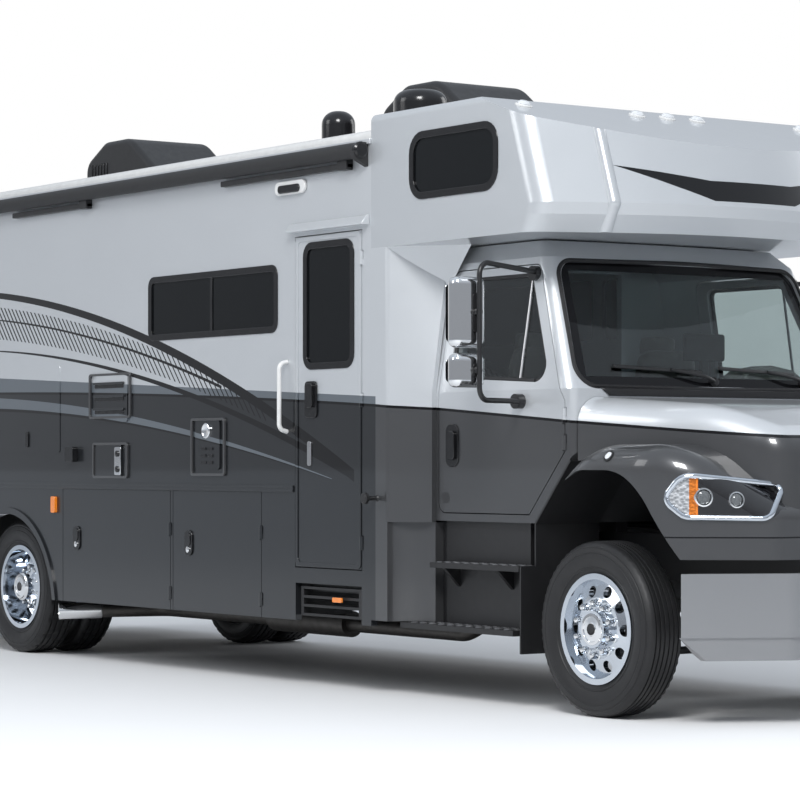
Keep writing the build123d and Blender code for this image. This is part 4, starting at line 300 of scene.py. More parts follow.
def cap_paint():
    """Silver cap with a bare black pennant across its front."""
    graph = Surface("cap_lacquer", CAP_SILVER, 0.3, 0.35, COAT)
    tail = graph.ramp(graph.math("ABSOLUTE", graph.y), PENNANT_Y0, PENNANT_Y1)
    middle = graph.line(tail, PENNANT_RISE, PENNANT_Z)
    half = graph.line(tail, -PENNANT_HALF, PENNANT_HALF)
    mark = graph.times(graph.less(graph.apart(graph.z, middle), half), graph.more(graph.x, PENNANT_X))
    return lacquer(graph, graph.mix(mark, CAP_SILVER, BLACK))


def paint(name, colour, metallic=0.3):
    return lacquer(Surface(name, colour, 0.3, metallic, COAT), colour)


def moulded(name, colour, roughness=0.45, grain=0.15):
    """Moulded plastic or satin coating with a fine grain."""
    graph = Surface(name, colour, roughness)
    graph.vary(colour, 0.12, 14.0)
    graph.rough(roughness - 0.08, roughness + 0.10, 22.0)
    graph.bump(graph.cells(700.0), grain, 0.0006)
    return graph.material


def metal(name, colour, roughness, streak=60.0):
    """Bare or polished metal with faint drawing marks."""
    graph = Surface(name, colour, roughness, 1.0)
    graph.vary(colour, 0.06, streak)
    graph.rough(0.6 * roughness, 1.5 * roughness, streak / 3)
    graph.bump(graph.noise(6 * streak, 1.0), 0.03, 0.0004)
    return graph.material


def rubber():
    graph = Surface("rubber", TYRE_BLACK, 0.5, 0.0, {"Specular IOR Level": 0.40})
    graph.vary(TYRE_BLACK, 0.3, 9.0)
    graph.rough(0.38, 0.58, 16.0)
    graph.bump(graph.noise(260.0), 0.12, 0.0006)
    return graph.material


def glass(name, tint, clear):
    """Tinted pane. Its faint waviness shows in reflections."""
    sockets = {"Transmission Weight": clear, "IOR": 1.45, "Specular IOR Level": 0.3}
    graph = Surface(name, tint, 0.03, 0.0, sockets)
    graph.vary(tint, 0.08, 1.5)
    graph.bump(graph.noise(2.2, 1.0), 0.015, 0.004)
    return graph.material


def lens(name, colour, glow):
    """Moulded lamp lens with fine flutes."""
    sockets = {"Coat Weight": 1.0, "Coat Roughness": 0.02, "Emission Strength": glow,
               "Emission Color": (*colour, 1.0)}
    graph = Surface(name, colour, 0.15, 0.0, sockets)
    graph.vary(colour, 0.2, 40.0)
    graph.bump(graph.math("SINE", graph.times(graph.z, 900.0)), 0.25, 0.001)
    return graph.material


def leather(name, colour):
    graph = Surface(name, colour, 0.55, 0.0, {"Sheen Weight": 0.15})
    graph.vary(colour, 0.18, 11.0)
    graph.rough(0.45, 0.65, 30.0)
    graph.bump(graph.cells(320.0), 0.30, 0.0012)
    return graph.material


def woven(name, colour):
    """Rolled awning fabric: fine crossed threads along the roll."""
    graph = Surface(name, colour, 0.6)
    graph.vary(colour, 0.25, 25.0)
    along, across = (graph.math("SINE", graph.times(way, 1500.0)) for way in (graph.x, graph.z))
    graph.bump(graph.times(along, across), 0.2, 0.0008)
    return graph.material


SCREEN_NARROWING = 0.100
SCREEN_BORDER = 0.050


def windshield_glass():
    """Clear pane with a black printed border that follows the opening."""
    low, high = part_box("windshield")
    graph = Surface("windshield_glass", SCREEN_TINT, 0.02, 0.0, {"IOR": 1.45, "Specular IOR Level": 0.25})
    half = graph.line(graph.ramp(graph.z, low.z, high.z), -SCREEN_NARROWING, high.y)
    above = graph.math("SUBTRACT", graph.z, low.z)
    below = graph.math("SUBTRACT", high.z, graph.z)
    beside = graph.math("SUBTRACT", half, graph.math("ABSOLUTE", graph.y))
    border = graph.math("MINIMUM", graph.math("MINIMUM", above, below), beside)
    clear = graph.more(border, SCREEN_BORDER)
    graph.set("Base Color", graph.mix(clear, PRINT_BLACK, SCREEN_TINT))
    graph.set("Transmission Weight", clear)
    graph.bump(graph.noise(2.0, 1.0), 0.01, 0.003)
    return graph.material


LAMP_REFLECTOR = 0.105
LAMP_FLASH = (0.082, 0.112)


def lamp_housing():
    """Dark headlamp housing behind a clear cover, with a reflector and an amber strip at its rear end."""
    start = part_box("headlamps")[0].x
    sockets = {"Coat Weight": 1.0, "Coat Roughness": 0.01}
    graph = Surface("headlamp_cover", (0.05, 0.05, 0.055), 0.08, 0.0, sockets)
    rear = graph.less(graph.x, start + LAMP_REFLECTOR)
    flash = graph.within(graph.x, *(start + limit for limit in LAMP_FLASH))
    facets = graph.cells(55.0)
    colour = graph.mix(graph.noise(30.0), BLACK, (0.012, 0.012, 0.014))
    colour = graph.mix(rear, colour, graph.mix(facets, (0.25, 0.26, 0.27), (0.75, 0.76, 0.78)))
    graph.set("Base Color", graph.mix(flash, colour, AMBER))
    graph.set("Metallic", graph.times(rear, 0.6))
    graph.bump(graph.times(facets, rear), 0.5, 0.004)
    return graph.material


MIRROR_HEAD_W = 0.222
MIRROR_TUBE_T = 0.036


def mirror_finish():
    """Chrome heads on a black tube: the heads lie behind the tube."""
    low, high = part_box("mirror_right")
    graph = Surface("mirror_finish", SATIN_BLACK, 0.35)
    head = graph.more(graph.math("ABSOLUTE", graph.y), -low.y - MIRROR_HEAD_W)
    head = graph.times(head, graph.less(graph.x, high.x - MIRROR_TUBE_T))
    chrome = graph.mix(graph.noise(50.0), (0.78, 0.79, 0.80), (0.83, 0.84, 0.85))
    graph.set("Base Color", graph.mix(head, SATIN_BLACK, chrome))
    graph.set("Metallic", head)
    graph.set("Roughness", graph.line(head, -0.30, 0.36))
    graph.bump(graph.noise(90.0), 0.02, 0.001)
    return graph.material


MATERIALS = {
    "coach": coach_livery(),
    "cab": cab_livery(),
    "cap": cap_paint(),
    "silver": paint("silver_lacquer", SILVER),
    "charcoal": paint("charcoal_lacquer", CHARCOAL),
    # service panel frames: a lighter grey as painted highlight on their edges
    "panel": paint("frame_grey_painted_highlight", CAB_GREY),
    "bumper": paint("bumper_lacquer", BUMPER_GREY, 0.55),
    "roof": moulded("roof_coating", (0.62, 0.62, 0.61), 0.5),
    "chassis": moulded("chassis_coating", (0.018, 0.018, 0.019), 0.42),
    "cast": moulded("cast_iron", (0.09, 0.09, 0.092), 0.65, 0.5),
    "black": moulded("black_plastic", SATIN_BLACK, 0.42),
    "gloss": moulded("gloss_black", (0.009, 0.009, 0.010), 0.16, 0.02),
    "grey": moulded("interior_plastic", (0.075, 0.072, 0.068), 0.6),
    "beige": moulded("dash_plastic", (0.30, 0.29, 0.27), 0.6),
    "board": moulded("floor_board", (0.09, 0.085, 0.08), 0.7),
    "white": moulded("white_plastic", (0.70, 0.70, 0.69), 0.3, 0.05),
    "chrome": metal("chrome", (0.80, 0.81, 0.82), 0.05),
    "alloy": metal("polished_alloy", (0.60, 0.64, 0.69), 0.09),
    "steel": metal("brushed_steel", (0.42, 0.42, 0.43), 0.30),
    "soot": metal("exhaust_steel", (0.10, 0.095, 0.09), 0.50),
    "tank": metal("tank_alloy", (0.55, 0.56, 0.57), 0.34),
    "rubber": rubber(),
    "dark_glass": glass("dark_glass", (0.006, 0.007, 0.008), 0.0),
    "clear_glass": glass("door_glass", (0.60, 0.66, 0.67), 1.0),
    "windshield": windshield_glass(),
    "headlamp": lamp_housing(),
    "mirror": mirror_finish(),
    "amber": lens("amber_lens", AMBER, 0.15),
    "red": lens("red_lens", RED, 0.05),
    "bulb": glass("projector_lens", (0.45, 0.48, 0.50), 0.75),
    "clear": lens("clear_lens", (0.66, 0.68, 0.70), 0.0),
    "leather": leather("seat_leather", (0.11, 0.10, 0.09)),
    "fabric": woven("awning_fabric", (0.013, 0.013, 0.014)),
}

# Finish of every CAD node that stays in view
NODE_FINISHES = {
    "coach": ["coach_wall_rear", "coach_wall_front", "entry_door", "service_panels", *both("coach_wall_"),
              *both("baggage_door_front_"), *both("baggage_door_rear_")],
    "cab": ["cab_shell", "hood_shell", "cab_fairings", *both("cab_door_")],
    "cap": ["front_cap"],
    "bumper": ["front_bumper"],
    "charcoal": ["rear_bumper"],
    "roof": ["coach_roof"],
    "chassis": ["frame_rails", "front_axle", "rear_axle", "leaf_springs", "driveshaft", "hitch_receiver",
                "tie_rod", *both("knuckle_")],
    "cast": ["engine"],
    "black": ["wheel_liners", "cab_steps", "entry_step", "air_conditioners", "baggage_boxes"],
    "mirror": both("mirror_"),
    "gloss": ["roof_fittings"],
    "beige": ["dashboard"],
    "board": ["coach_floor"],
    "tank": ["side_tanks"],
    "soot": ["exhaust"],
    "chrome": ["grille"],
    "white": ["grab_handle"],
    "alloy": both("wheel_front_") + both("wheels_rear_"),
    "fabric": ["awning"],
    "dark_glass": ["coach_windows", "entry_glass"],
    "clear_glass": both("cab_glass_"),
    "windshield": ["windshield"],
    "headlamp": ["headlamps"],
    "red": ["tail_lamps"],
}

# Slot name looked up for a piece of each finish, unless its own call names another
SLOTS = {
    "coach": "coach_paint", "silver": "coach_paint", "charcoal": "coach_paint", "panel": "coach_paint",
    "black": "black_plastic", "gloss": "black_plastic", "rubber": "black_plastic", "steel": "black_plastic",
    "white": "white_plastic", "chrome": "chrome", "alloy": "bumper_silver", "leather": "seat_trim",
    "amber": "lamp_clear", "clear": "lamp_clear", "bulb": "lamp_clear",
    "grey": "interior_grey", "beige": "interior_grey",
}

for finish, names in NODE_FINISHES.items():
    for node_name in names:
        NODES[node_name].data.materials.clear()
        NODES[node_name].data.materials.append(MATERIALS[finish])


# Mesh helpers


def piece(name, mesh, finish, body="chassis", slot=None, bevel=0.0, smooth=30.0):
    """Make a mesh a piece of the scene on a CAD body. A bevel rounds its edges a little."""
    data = bpy.data.meshes.new(name)
    bmesh.ops.recalc_face_normals(mesh, faces=mesh.faces)
    mesh.to_mesh(data)
    mesh.free()
    item = bpy.data.objects.new(name, data)
    bpy.context.scene.collection.objects.link(item)
    data.materials.append(MATERIALS[finish])
    data.polygons.foreach_set("use_smooth", [True] * len(data.polygons))
    data.set_sharp_from_angle(angle=math.radians(smooth))
    if bevel:
        edges = item.modifiers.new("edges", "BEVEL")
        edges.width = bevel
        edges.segments = 2
        edges.limit_method = "ANGLE"
        edges.angle_limit = math.radians(40)
    slot = slot or SLOTS[finish]
    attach(item, body)
    return item


def rounded(u0, u1, v0, v1, radius, steps=6):
    """Points of a rectangle with round corners."""
    points = []
    corners = [(u1 - radius, v1 - radius, 0), (u0 + radius, v1 - radius, 90),
               (u0 + radius, v0 + radius, 180), (u1 - radius, v0 + radius, 270)]
    for u, v, start in corners:
        for step in range(steps + 1):
            turn = math.radians(start + 90 * step / steps)
            points.append((u + radius * math.cos(turn), v + radius * math.sin(turn)))
    return points


def grown(limits, out, radius):
    """Points of a round-cornered rectangle, moved out all round."""
    u0, u1, v0, v1 = limits
    return rounded(u0 - out, u1 + out, v0 - out, v1 + out, radius)


def on_side(y):
    """Maps (x, z) outlines to the side plane at y."""
    return lambda u, v, depth: Vector((u, y + depth, v))


def on_front(x):
    """Maps (y, z) outlines to the cross plane at x."""
    return lambda u, v, depth: Vector((x + depth, u, v))


def on_top(z):
    """Maps (x, y) outlines to the level plane at z."""
    return lambda u, v, depth: Vector((u, v, z + depth))


def add_plate(mesh, points, depth, place):
    """A flat plate with an outline and a thickness."""
    low = [mesh.verts.new(place(u, v, 0.0)) for u, v in points]
    high = [mesh.verts.new(place(u, v, depth)) for u, v in points]
    mesh.faces.new(low)
    mesh.faces.new(high[::-1])
    for index in range(len(points)):
        after = (index + 1) % len(points)
        mesh.faces.new((low[index], low[after], high[after], high[index]))


def add_ring(mesh, outer, inner, depth, place):
    """A flat frame between two outlines with the same number of points."""
    loops = [[mesh.verts.new(place(u, v, level)) for u, v in points]
             for points, level in ((outer, 0.0), (outer, depth), (inner, depth), (inner, 0.0))]
    count = len(outer)
    for index, loop in enumerate(loops):
        following = loops[(index + 1) % 4]
        for step in range(count):
            after = (step + 1) % count
            mesh.faces.new((loop[step], loop[after], following[after], following[step]))


def add_lathe(mesh, profile, origin, axis, segments=48):
    """Turn (radius, height) points about an axis. Radius 0 closes an end."""
    axis = Vector(axis).normalized()
    side = axis.orthogonal().normalized()
    other = axis.cross(side)
    loops = []
    for radius, height in profile:
        middle = Vector(origin) + axis * height
        turns = [2 * math.pi * step / segments for step in range(segments)] if radius else [0.0]
        loops.append([mesh.verts.new(middle + (side * math.cos(turn) + other * math.sin(turn)) * radius)
                      for turn in turns])
    for low, high in zip(loops, loops[1:]):
        for step in range(segments):
            after = (step + 1) % segments
            corners = [low[step % len(low)], low[after % len(low)],
                       high[after % len(high)], high[step % len(high)]]
            mesh.faces.new(list(dict.fromkeys(corners)))


def add_tube(mesh, points, radius, closed=False, sides=10, flat=1.0):
    """Sweep a round or flattened bar along points."""
    points = [Vector(point) for point in points]
    count = len(points)
    turns = [2 * math.pi * step / sides for step in range(sides)]
    loops = []
    side = None
    for index, point in enumerate(points):
        before = points[index - 1] if closed or index else point
        after = points[(index + 1) % count] if closed or index < count - 1 else point
        along = (after - before).normalized()
        side = along.orthogonal() if side is None else side - along * side.dot(along)
        side.normalize()
        other = along.cross(side)
        loops.append([mesh.verts.new(point + side * (radius * math.cos(turn))
                                     + other * (flat * radius * math.sin(turn))) for turn in turns])
    pairs = list(zip(loops, loops[1:])) + ([(loops[-1], loops[0])] if closed else [])
    for low, high in pairs:
        shift = 0
        if closed and low is loops[-1]:
            shift = min(range(sides), key=lambda step: (high[step].co - low[0].co).length)
        for step in range(sides):
            after = (step + 1) % sides
            mesh.faces.new((low[step], low[after],
                            high[(after + shift) % sides], high[(step + shift) % sides]))
    if not closed:
        mesh.faces.new(loops[0][::-1])
        mesh.faces.new(loops[-1])


def cast(node, origin, direction):
    """Where a ray meets a CAD node, and the surface normal there, or None."""
    found, point, normal, face = NODES[node].ray_cast(Vector(origin), Vector(direction).normalized())
    return (point, normal) if found else None


def hit(node, origin, direction):
    """As cast, for a ray that has to meet the node."""
    met = cast(node, origin, direction)
    if met is None:
        raise ValueError("no surface of " + node + " at " + str(tuple(origin)))
    return met


def curve_points(points, steps):
    """Smooth points through a few given ones."""
    points = [Vector(point) for point in points]
    ends = [2 * points[0] - points[1]] + points + [2 * points[-1] - points[-2]]
    smooth = []
    for a, b, c, d in zip(ends, ends[1:], ends[2:], ends[3:]):
        for step in range(steps):
            t = step / steps
            smooth.append(0.5 * (2 * b + (c - a) * t + (2 * a - 5 * b + 4 * c - d) * t * t
                                 + (3 * b - a - 3 * c + d) * t ** 3))
    return smooth + [points[-1]]


def fill_in(points, step):
    """Add points to a closed line, so that none of its parts is longer than a step."""
    filled = []
    for here, after in zip(points, points[1:] + points[:1]):
        count = max(1, math.ceil((after - here).length / step))
        filled += [here.lerp(after, share / count) for share in range(count)]
    return filled


def round_polygon(corners, radii, steps):
    """Points of a polygon whose corners are rounded by arcs."""
    points = []
    for index, (corner, radius) in enumerate(zip(corners, radii)):
        here = Vector(corner)
        before = (Vector(corners[index - 1]) - here).normalized()
        after = (Vector(corners[(index + 1) % len(corners)]) - here).normalized()
        half = before.angle(after) / 2
        middle = here + (before + after).normalized() * (radius / math.sin(half))
        start = here + before * (radius / math.tan(half)) - middle
        end = here + after * (radius / math.tan(half)) - middle
        for step in range(steps + 1):
            points.append(tuple(middle + start.lerp(end, step / steps).normalized() * radius))
    return points


def islands(node):
    """Boxes of a node's separate solids."""
    mesh = NODES[node].data
    keys = [tuple(round(value, 4) for value in vertex.co) for vertex in mesh.vertices]
    parent = {key: key for key in keys}

    def root(key):
        while parent[key] != key:
            key = parent[key]
        return key

    for polygon in mesh.polygons:
        first = root(keys[polygon.vertices[0]])
        for index in polygon.vertices[1:]:
            parent[root(keys[index])] = first
    groups = {}
    for key in parent:
        groups.setdefault(root(key), []).append(key)
    return [tuple(Vector([limit(column) for column in zip(*group)]) for limit in (min, max))
            for group in groups.values()]


def pane_edge(node, across, out, side=1.0):
    """Points round a curved pane's outer edge, in order: the hull of its view along one axis."""
    outer = {}
    for vertex in NODES[node].data.vertices:
        key = (round(vertex.co[across], 4), round(vertex.co.z, 4))
        outer[key] = max(outer.get(key, -math.inf), side * vertex.co[out])
    places = sorted(outer)
    hull = []
    for order in (places, places[::-1]):
        chain = []
        for u, z in order:
            while len(chain) > 1 and ((chain[-1][0] - chain[-2][0]) * (z - chain[-2][1])
                                      - (chain[-1][1] - chain[-2][1]) * (u - chain[-2][0])) <= 0:
                chain.pop()
            chain.append((u, z))
        hull += chain[:-1]
    points = []
    for key in hull:
        point = Vector((0.0, 0.0, key[1]))
        point[across] = key[0]
        point[out] = side * outer[key]
        points.append(point)
    return points


# Tyres with ribbed treads and banded sidewalls

TYRE_R = 0.478
TYRE_STEPS = 120
DUAL_SPACING = 0.159
SIDEWALL = [
    # radius and offset from the tyre's middle, from the bead to the shoulder
    (0.2865, 0.090), (0.302, 0.0946), (0.312, 0.103), (0.326, 0.111), (0.329, 0.116), (0.335, 0.1175),
    (0.338, 0.1145), (0.343, 0.1165), (0.375, 0.1255), (0.392, 0.1265), (0.406, 0.1260), (0.409, 0.1235),
    (0.413, 0.1232), (0.416, 0.1256), (0.432, 0.1235), (0.438, 0.1215), (0.440, 0.1180), (0.446, 0.1175),
    (0.450, 0.1190), (0.458, 0.1150), (0.468, 0.1070), (0.4745, 0.0985),
]
GROOVE = [
    # depth below the tread, offset in half widths of the groove
    (0.0010, 1.2), (0.0015, 1.0), (0.0130, 0.6), (0.0130, -0.6), (0.0012, -1.0), (0.0002, -1.2),
]
FRONT_TREAD = {"grooves": (0.076, 0.046, 0.016), "half": 0.0045, "notch_steps": 2, "shoulder": 0.096,
               "lugs": False}
REAR_TREAD = {"grooves": (0.070, 0.026), "half": 0.0065, "notch_steps": 3, "shoulder": 0.080, "lugs": True}
NOTCH_R = 0.455
NOTCH_DEPTH = 0.006
LUG_R = 0.470
LUG_STEPS = 6
LUG_DEPTH = 0.008


def tyre(mesh, middle, tread):
    """A tyre turned about its own axle line, with notched shoulders and cuts between drive lugs."""
    half = SIDEWALL + [(TYRE_R - deep, groove + share * tread["half"]) for groove in tread["grooves"]
                       for deep, share in GROOVE] + [(TYRE_R, 0.0)]
    section = half + [(radius, -offset) for radius, offset in half[-2::-1]]
    loops = []
    for step in range(TYRE_STEPS):
        turn = 2 * math.pi * step / TYRE_STEPS
        loop = []
        for radius, offset in section:
            drop = 0.0
            lug_step = 0 if offset > 0 else LUG_STEPS // 2
            if tread["lugs"] and radius > LUG_R and step % LUG_STEPS == lug_step:
                drop = LUG_DEPTH
            if step % tread["notch_steps"] == 0 and radius > NOTCH_R and abs(offset) > tread["shoulder"]:
                drop = NOTCH_DEPTH
            reach = radius - drop
            around = Vector((reach * math.cos(turn), offset, reach * math.sin(turn)))
            loop.append(mesh.verts.new(middle + around))
        loops.append(loop)
    for here, after in zip(loops, loops[1:] + loops[:1]):
        for index in range(len(section)):
            beyond = (index + 1) % len(section)
            mesh.faces.new((here[index], here[beyond], after[beyond], after[index]))


def tyres():
    for side_name, side in SIDES:
        for name, node, body, tread, offsets in (
                ("tread_front_", "tyre_front_", "front_wheel_", FRONT_TREAD, (0.0,)),
                ("treads_rear_", "tyres_rear_", "rear_wheels_", REAR_TREAD, (-DUAL_SPACING, DUAL_SPACING))):
            mesh = bmesh.new()
            for offset in offsets:
                tyre(mesh, centre(node + side_name) + LEFT * offset, tread)
            item = piece(name + side_name, mesh, "rubber", body + side_name, "tyre_black", smooth=25.0)
            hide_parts(node + side_name)


# Lug nuts, hub caps and the plugs in their middles, as (radius, height) profiles

NUTS = 10
NUT_CIRCLE = 0.1429
NUT_PROFILE = [(0.024, -0.004), (0.024, 0.006), (0.019, 0.010), (0.0185, 0.040), (0.013, 0.052), (0.0, 0.055)]
HUB_PROFILE = [(0.103, -0.046), (0.103, -0.012), (0.096, -0.004), (0.088, -0.001), (0.086, 0.004),
               (0.070, 0.006), (0.067, 0.001), (0.040, 0.002), (0.036, 0.006), (0.0, 0.007)]
PLUG_PROFILE = [(0.032, 0.004), (0.032, 0.009), (0.029, 0.0105), (0.022, 0.0098), (0.0, 0.0110)]
WHEELS = [
    # wheel node, body, depth of the disc below the wheel's outer face
    ("wheel_front_", "front_wheel_", 0.046),
    ("wheels_rear_", "rear_wheels_", 0.116),
]


def hubs():
    for side_name, side in SIDES:
        for node, body, depth in WHEELS:
            name = body + side_name
            axle = centre(node + side_name)
            axle.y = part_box(node + side_name)[0 if side < 0 else 1].y
            nuts, cap, plug = bmesh.new(), bmesh.new(), bmesh.new()
            for nut in range(NUTS):
                turn = 2 * math.pi * (nut + 0.5) / NUTS
                around = Vector((math.cos(turn), 0.0, math.sin(turn))) * NUT_CIRCLE
                add_lathe(nuts, NUT_PROFILE, axle + around - LEFT * side * depth, LEFT * side, 12)
            add_lathe(cap, HUB_PROFILE, axle, LEFT * side, 48)
            add_lathe(plug, PLUG_PROFILE, axle, LEFT * side, 32)
            piece("lug_nuts_" + name, nuts, "chrome", name)
            piece("hub_cap_" + name, cap, "chrome", name)
            piece("hub_plug_" + name, plug, "gloss", name)


# Windows: black frames over the pane edges, with dividers

FRAME_W = 0.034
FRAME_LIP = 0.008
FRAME_OUT = 0.006
FRAME_LEAST_R = 0.02
FRAME_BEVEL = 0.002
PANE_SET = 0.006
PANE_R = 0.06
CAP_PANE_R = 0.12
CAP_PANE_Z = 2.7
ENTRY_PANE_R = 0.08
DIVIDER_W = 0.014
REAR_WALL_T = 0.045
REAR_PANE_MOST = 0.1


def frame_mesh(low, high, radius, across, plane, way, dividers):
    """A window frame between two round-cornered outlines, with upright dividers at shares of its width."""
    limits = (low[across], high[across], low.z, high.z)
    depth = way * (PANE_SET + FRAME_OUT)
    mesh = bmesh.new()
    add_ring(mesh, grown(limits, FRAME_LIP, radius + FRAME_LIP),
             grown(limits, -FRAME_W, max(radius - FRAME_W, FRAME_LEAST_R)), depth, plane)
    for share in dividers:
        u = low[across] + share * (high[across] - low[across])
        v0, v1 = low.z + FRAME_W / 2, high.z - FRAME_W / 2
        add_plate(mesh, [(u - DIVIDER_W, v0), (u + DIVIDER_W, v0), (u + DIVIDER_W, v1), (u - DIVIDER_W, v1)],
                  0.6 * depth, plane)
    return mesh


def window_frames():
    panes = sorted(islands("coach_windows"), key=lambda pane: tuple(pane[0]))
    for number, (low, high) in enumerate(panes):
        side = -1.0 if low.y < 0 else 1.0
        plane = on_side(side * (WALL_Y - PANE_SET))
        if high.x - low.x < REAR_PANE_MOST:
            plane = on_front(WALL_LOW.x - REAR_WALL_T + PANE_SET)
            mesh = frame_mesh(low, high, PANE_R, 1, plane, -1.0, [0.5])
        elif low.z > CAP_PANE_Z:
            mesh = frame_mesh(low, high, CAP_PANE_R, 0, plane, side, [])
        else:
            mesh = frame_mesh(low, high, PANE_R, 0, plane, side, [0.5])
        piece("window_frame_%d" % number, mesh, "gloss", bevel=FRAME_BEVEL)
    low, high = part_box("entry_glass")
    mesh = frame_mesh(low, high, ENTRY_PANE_R, 0, on_side(-WALL_Y + PANE_SET), -1.0, [])
    piece("entry_window_frame", mesh, "gloss", "entry_door_body", bevel=FRAME_BEVEL)


# Windshield: seal, wipers, cowl and what shows behind it

SEAL_R = 0.013
SEAL_STEP = 0.04
SEAL_OUT = 0.016
SEAL_LIFT = 0.004
SEAL_REACH = 0.09
WIPERS = [
    # y of the pivot, reach of the blade
    (-0.02, 0.70), (0.70, 0.66),
]
WIPER_UP = 0.030
BLADE_SHARES = (0.12, 0.3, 0.5, 0.7, 0.85, 1.0)
PIVOT_PROFILE = [(0.028, -0.03), (0.028, 0.012), (0.018, 0.030), (0.0, 0.034)]
COWL_DROPS = (0.014, 0.022, 0.030, 0.045, 0.060)
COWL_INSET = 0.06
COWL_TAPER = 1.4
COWL_COLUMNS = 48
COWL_T = 0.004


def windshield_seal():
    """A rubber bead that lies on the cab's skin just outside the pane."""
    edge = pane_edge("windshield", 1, 0)
    middle = sum(edge, Vector()) / len(edge)
    seal = []
    for point in fill_in(edge, SEAL_STEP):
        beside = point + (point - middle).normalized() * SEAL_OUT
        met = cast("cab_shell", (AHEAD, beside.y, beside.z), -FORWARD)
        on_skin = met and abs(met[0].x - point.x) < SEAL_REACH
        seal.append(met[0] if on_skin else point + FORWARD * SEAL_LIFT)
    mesh = bmesh.new()
    add_tube(mesh, seal, SEAL_R, closed=True)
    piece("windshield_seal", mesh, "rubber")


def screen_point(y, z, lift):
    """A point just in front of the windshield."""
    return hit("windshield", (AHEAD, y, z), -FORWARD)[0] + FORWARD * lift


def wipers():
    mesh = bmesh.new()
    base_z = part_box("windshield")[0].z + WIPER_UP
    for pivot_y, reach in WIPERS:
        blade = [screen_point(pivot_y - reach * share, base_z + 0.050 + 0.030 * share, 0.016)
                 for share in BLADE_SHARES]
        add_tube(mesh, blade, 0.009, flat=1.6)
        arm = [screen_point(pivot_y, base_z, 0.02), screen_point(pivot_y - 0.10, base_z + 0.030, 0.050),
               screen_point(pivot_y - 0.45 * reach, base_z + 0.066, 0.030)]
        add_tube(mesh, curve_points(arm, 5), 0.010)
        add_lathe(mesh, PIVOT_PROFILE, screen_point(pivot_y, base_z, 0.0), FORWARD, 20)
    piece("wipers", mesh, "black")


def cowl_panel():
    """A black strip that follows the cab's front below the windshield."""
    low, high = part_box("windshield")
    mesh = bmesh.new()
    rows = []
    for drop in COWL_DROPS:
        half = high.y - COWL_INSET - COWL_TAPER * drop
        row = []
        for column in range(COWL_COLUMNS + 1):
            y = -half + 2 * half * column / COWL_COLUMNS
            point, normal = hit("cab_shell", (AHEAD, y, low.z - drop), -FORWARD)
            row.append(mesh.verts.new(point + normal * COWL_T))
        rows.append(row)
    for upper, lower in zip(rows, rows[1:]):
        for column in range(COWL_COLUMNS):
            mesh.faces.new((upper[column], upper[column + 1], lower[column + 1], lower[column]))
    thick = piece("cowl_panel", mesh, "black").modifiers.new("thickness", "SOLIDIFY")
    thick.thickness = COWL_T
    thick.offset = 1.0


DASH_BACK = 0.15
DASH_DROP = 0.076
DASH_PLATES = [
    # y limits, z limits over the dash, corner radius, distance back, depth: pad, display, its stand
    (-0.92, 0.26, -0.02, 0.085, 0.035, 0.0, 0.24),
    (0.01, 0.31, 0.235, 0.395, 0.02, 0.14, 0.03),
    (0.13, 0.19, 0.06, 0.26, 0.01, 0.145, 0.02),
]
DASH_HOOD = [
    # y, z over the dash
    (0.22, -0.02), (0.92, -0.02), (0.90, 0.10), (0.74, 0.19), (0.58, 0.215), (0.42, 0.19), (0.26, 0.10),
]


def dash_fittings():
    """A pad over the dashboard, a hood over the instruments and a display on a stand."""
    low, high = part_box("windshield")
    front, top = high.x - DASH_BACK, low.z - DASH_DROP
    pad, display = bmesh.new(), bmesh.new()
    for mesh, (y0, y1, z0, z1, radius, back, depth) in zip((pad, display, display), DASH_PLATES):
        add_plate(mesh, rounded(y0, y1, top + z0, top + z1, radius), -depth, on_front(front - back))
    add_plate(pad, [(y, top + z) for y, z in DASH_HOOD], -0.20, on_front(front - 0.02))
    piece("dash_pad", pad, "beige", bevel=0.015)
    piece("dash_display", display, "gloss", slot="interior_grey", bevel=0.004)


# Seats: crowned cushions with sewn channels

CUSHIONS = [
    # centre x and z from the seat's rear lower edge, half sizes, lean in degrees, crown, swell limit,
    # channels as shares of the half width
    (0.352, 0.345, (0.235, 0.240, 0.052), 0.0, 0.016, 0.012, (-0.5, 0.5)),
    (0.115, 0.700, (0.285, 0.230, 0.046), -82.0, 0.014, 0.012, (-0.45, 0.45)),
    (0.062, 0.995, (0.062, 0.122, 0.038), -82.0, 0.008, 0.007, ()),
]
SEATS_Y = 0.48
PAD_CELLS = 18
PAD_VOXEL = 0.007
PAD_STEPS = 20
PAD_PRESSURE = 4.0
CHANNEL_DEPTH = 0.011
CHANNEL_W = 0.045


def pad_mesh(half, crown):
    """A closed pad round the origin: a rounded box whose upper face is crowned."""
    mesh = bmesh.new()
    found = {}

    def corner(raw):
        key = tuple(round(value, 5) for value in raw)
        if key not in found:
            size = sum(abs(value) ** 5 for value in raw) ** 0.2
            unit = [value / size for value in raw]
            local = Vector([value * extent for value, extent in zip(unit, half)])
            local.z += max(0.0, unit[2]) * crown * (1 - unit[0] ** 2) * (1 - unit[1] ** 2)
            found[key] = mesh.verts.new(local)
        return found[key]

    for axis in range(3):
        for end in (-1.0, 1.0):
            for row in range(PAD_CELLS):
                for column in range(PAD_CELLS):
                    quad = []
                    for step_u, step_v in ((0, 0), (1, 0), (1, 1), (0, 1)):
                        raw = [0.0, 0.0, 0.0]
                        raw[axis] = end
                        raw[(axis + 1) % 3] = -1 + 2 * (row + step_u) / PAD_CELLS
                        raw[(axis + 2) % 3] = -1 + 2 * (column + step_v) / PAD_CELLS
                        quad.append(corner(raw))
                    mesh.faces.new(quad)
    bmesh.ops.recalc_face_normals(mesh, faces=mesh.faces)
    data = bpy.data.meshes.new("pad")
    mesh.to_mesh(data)
    mesh.free()
    return data


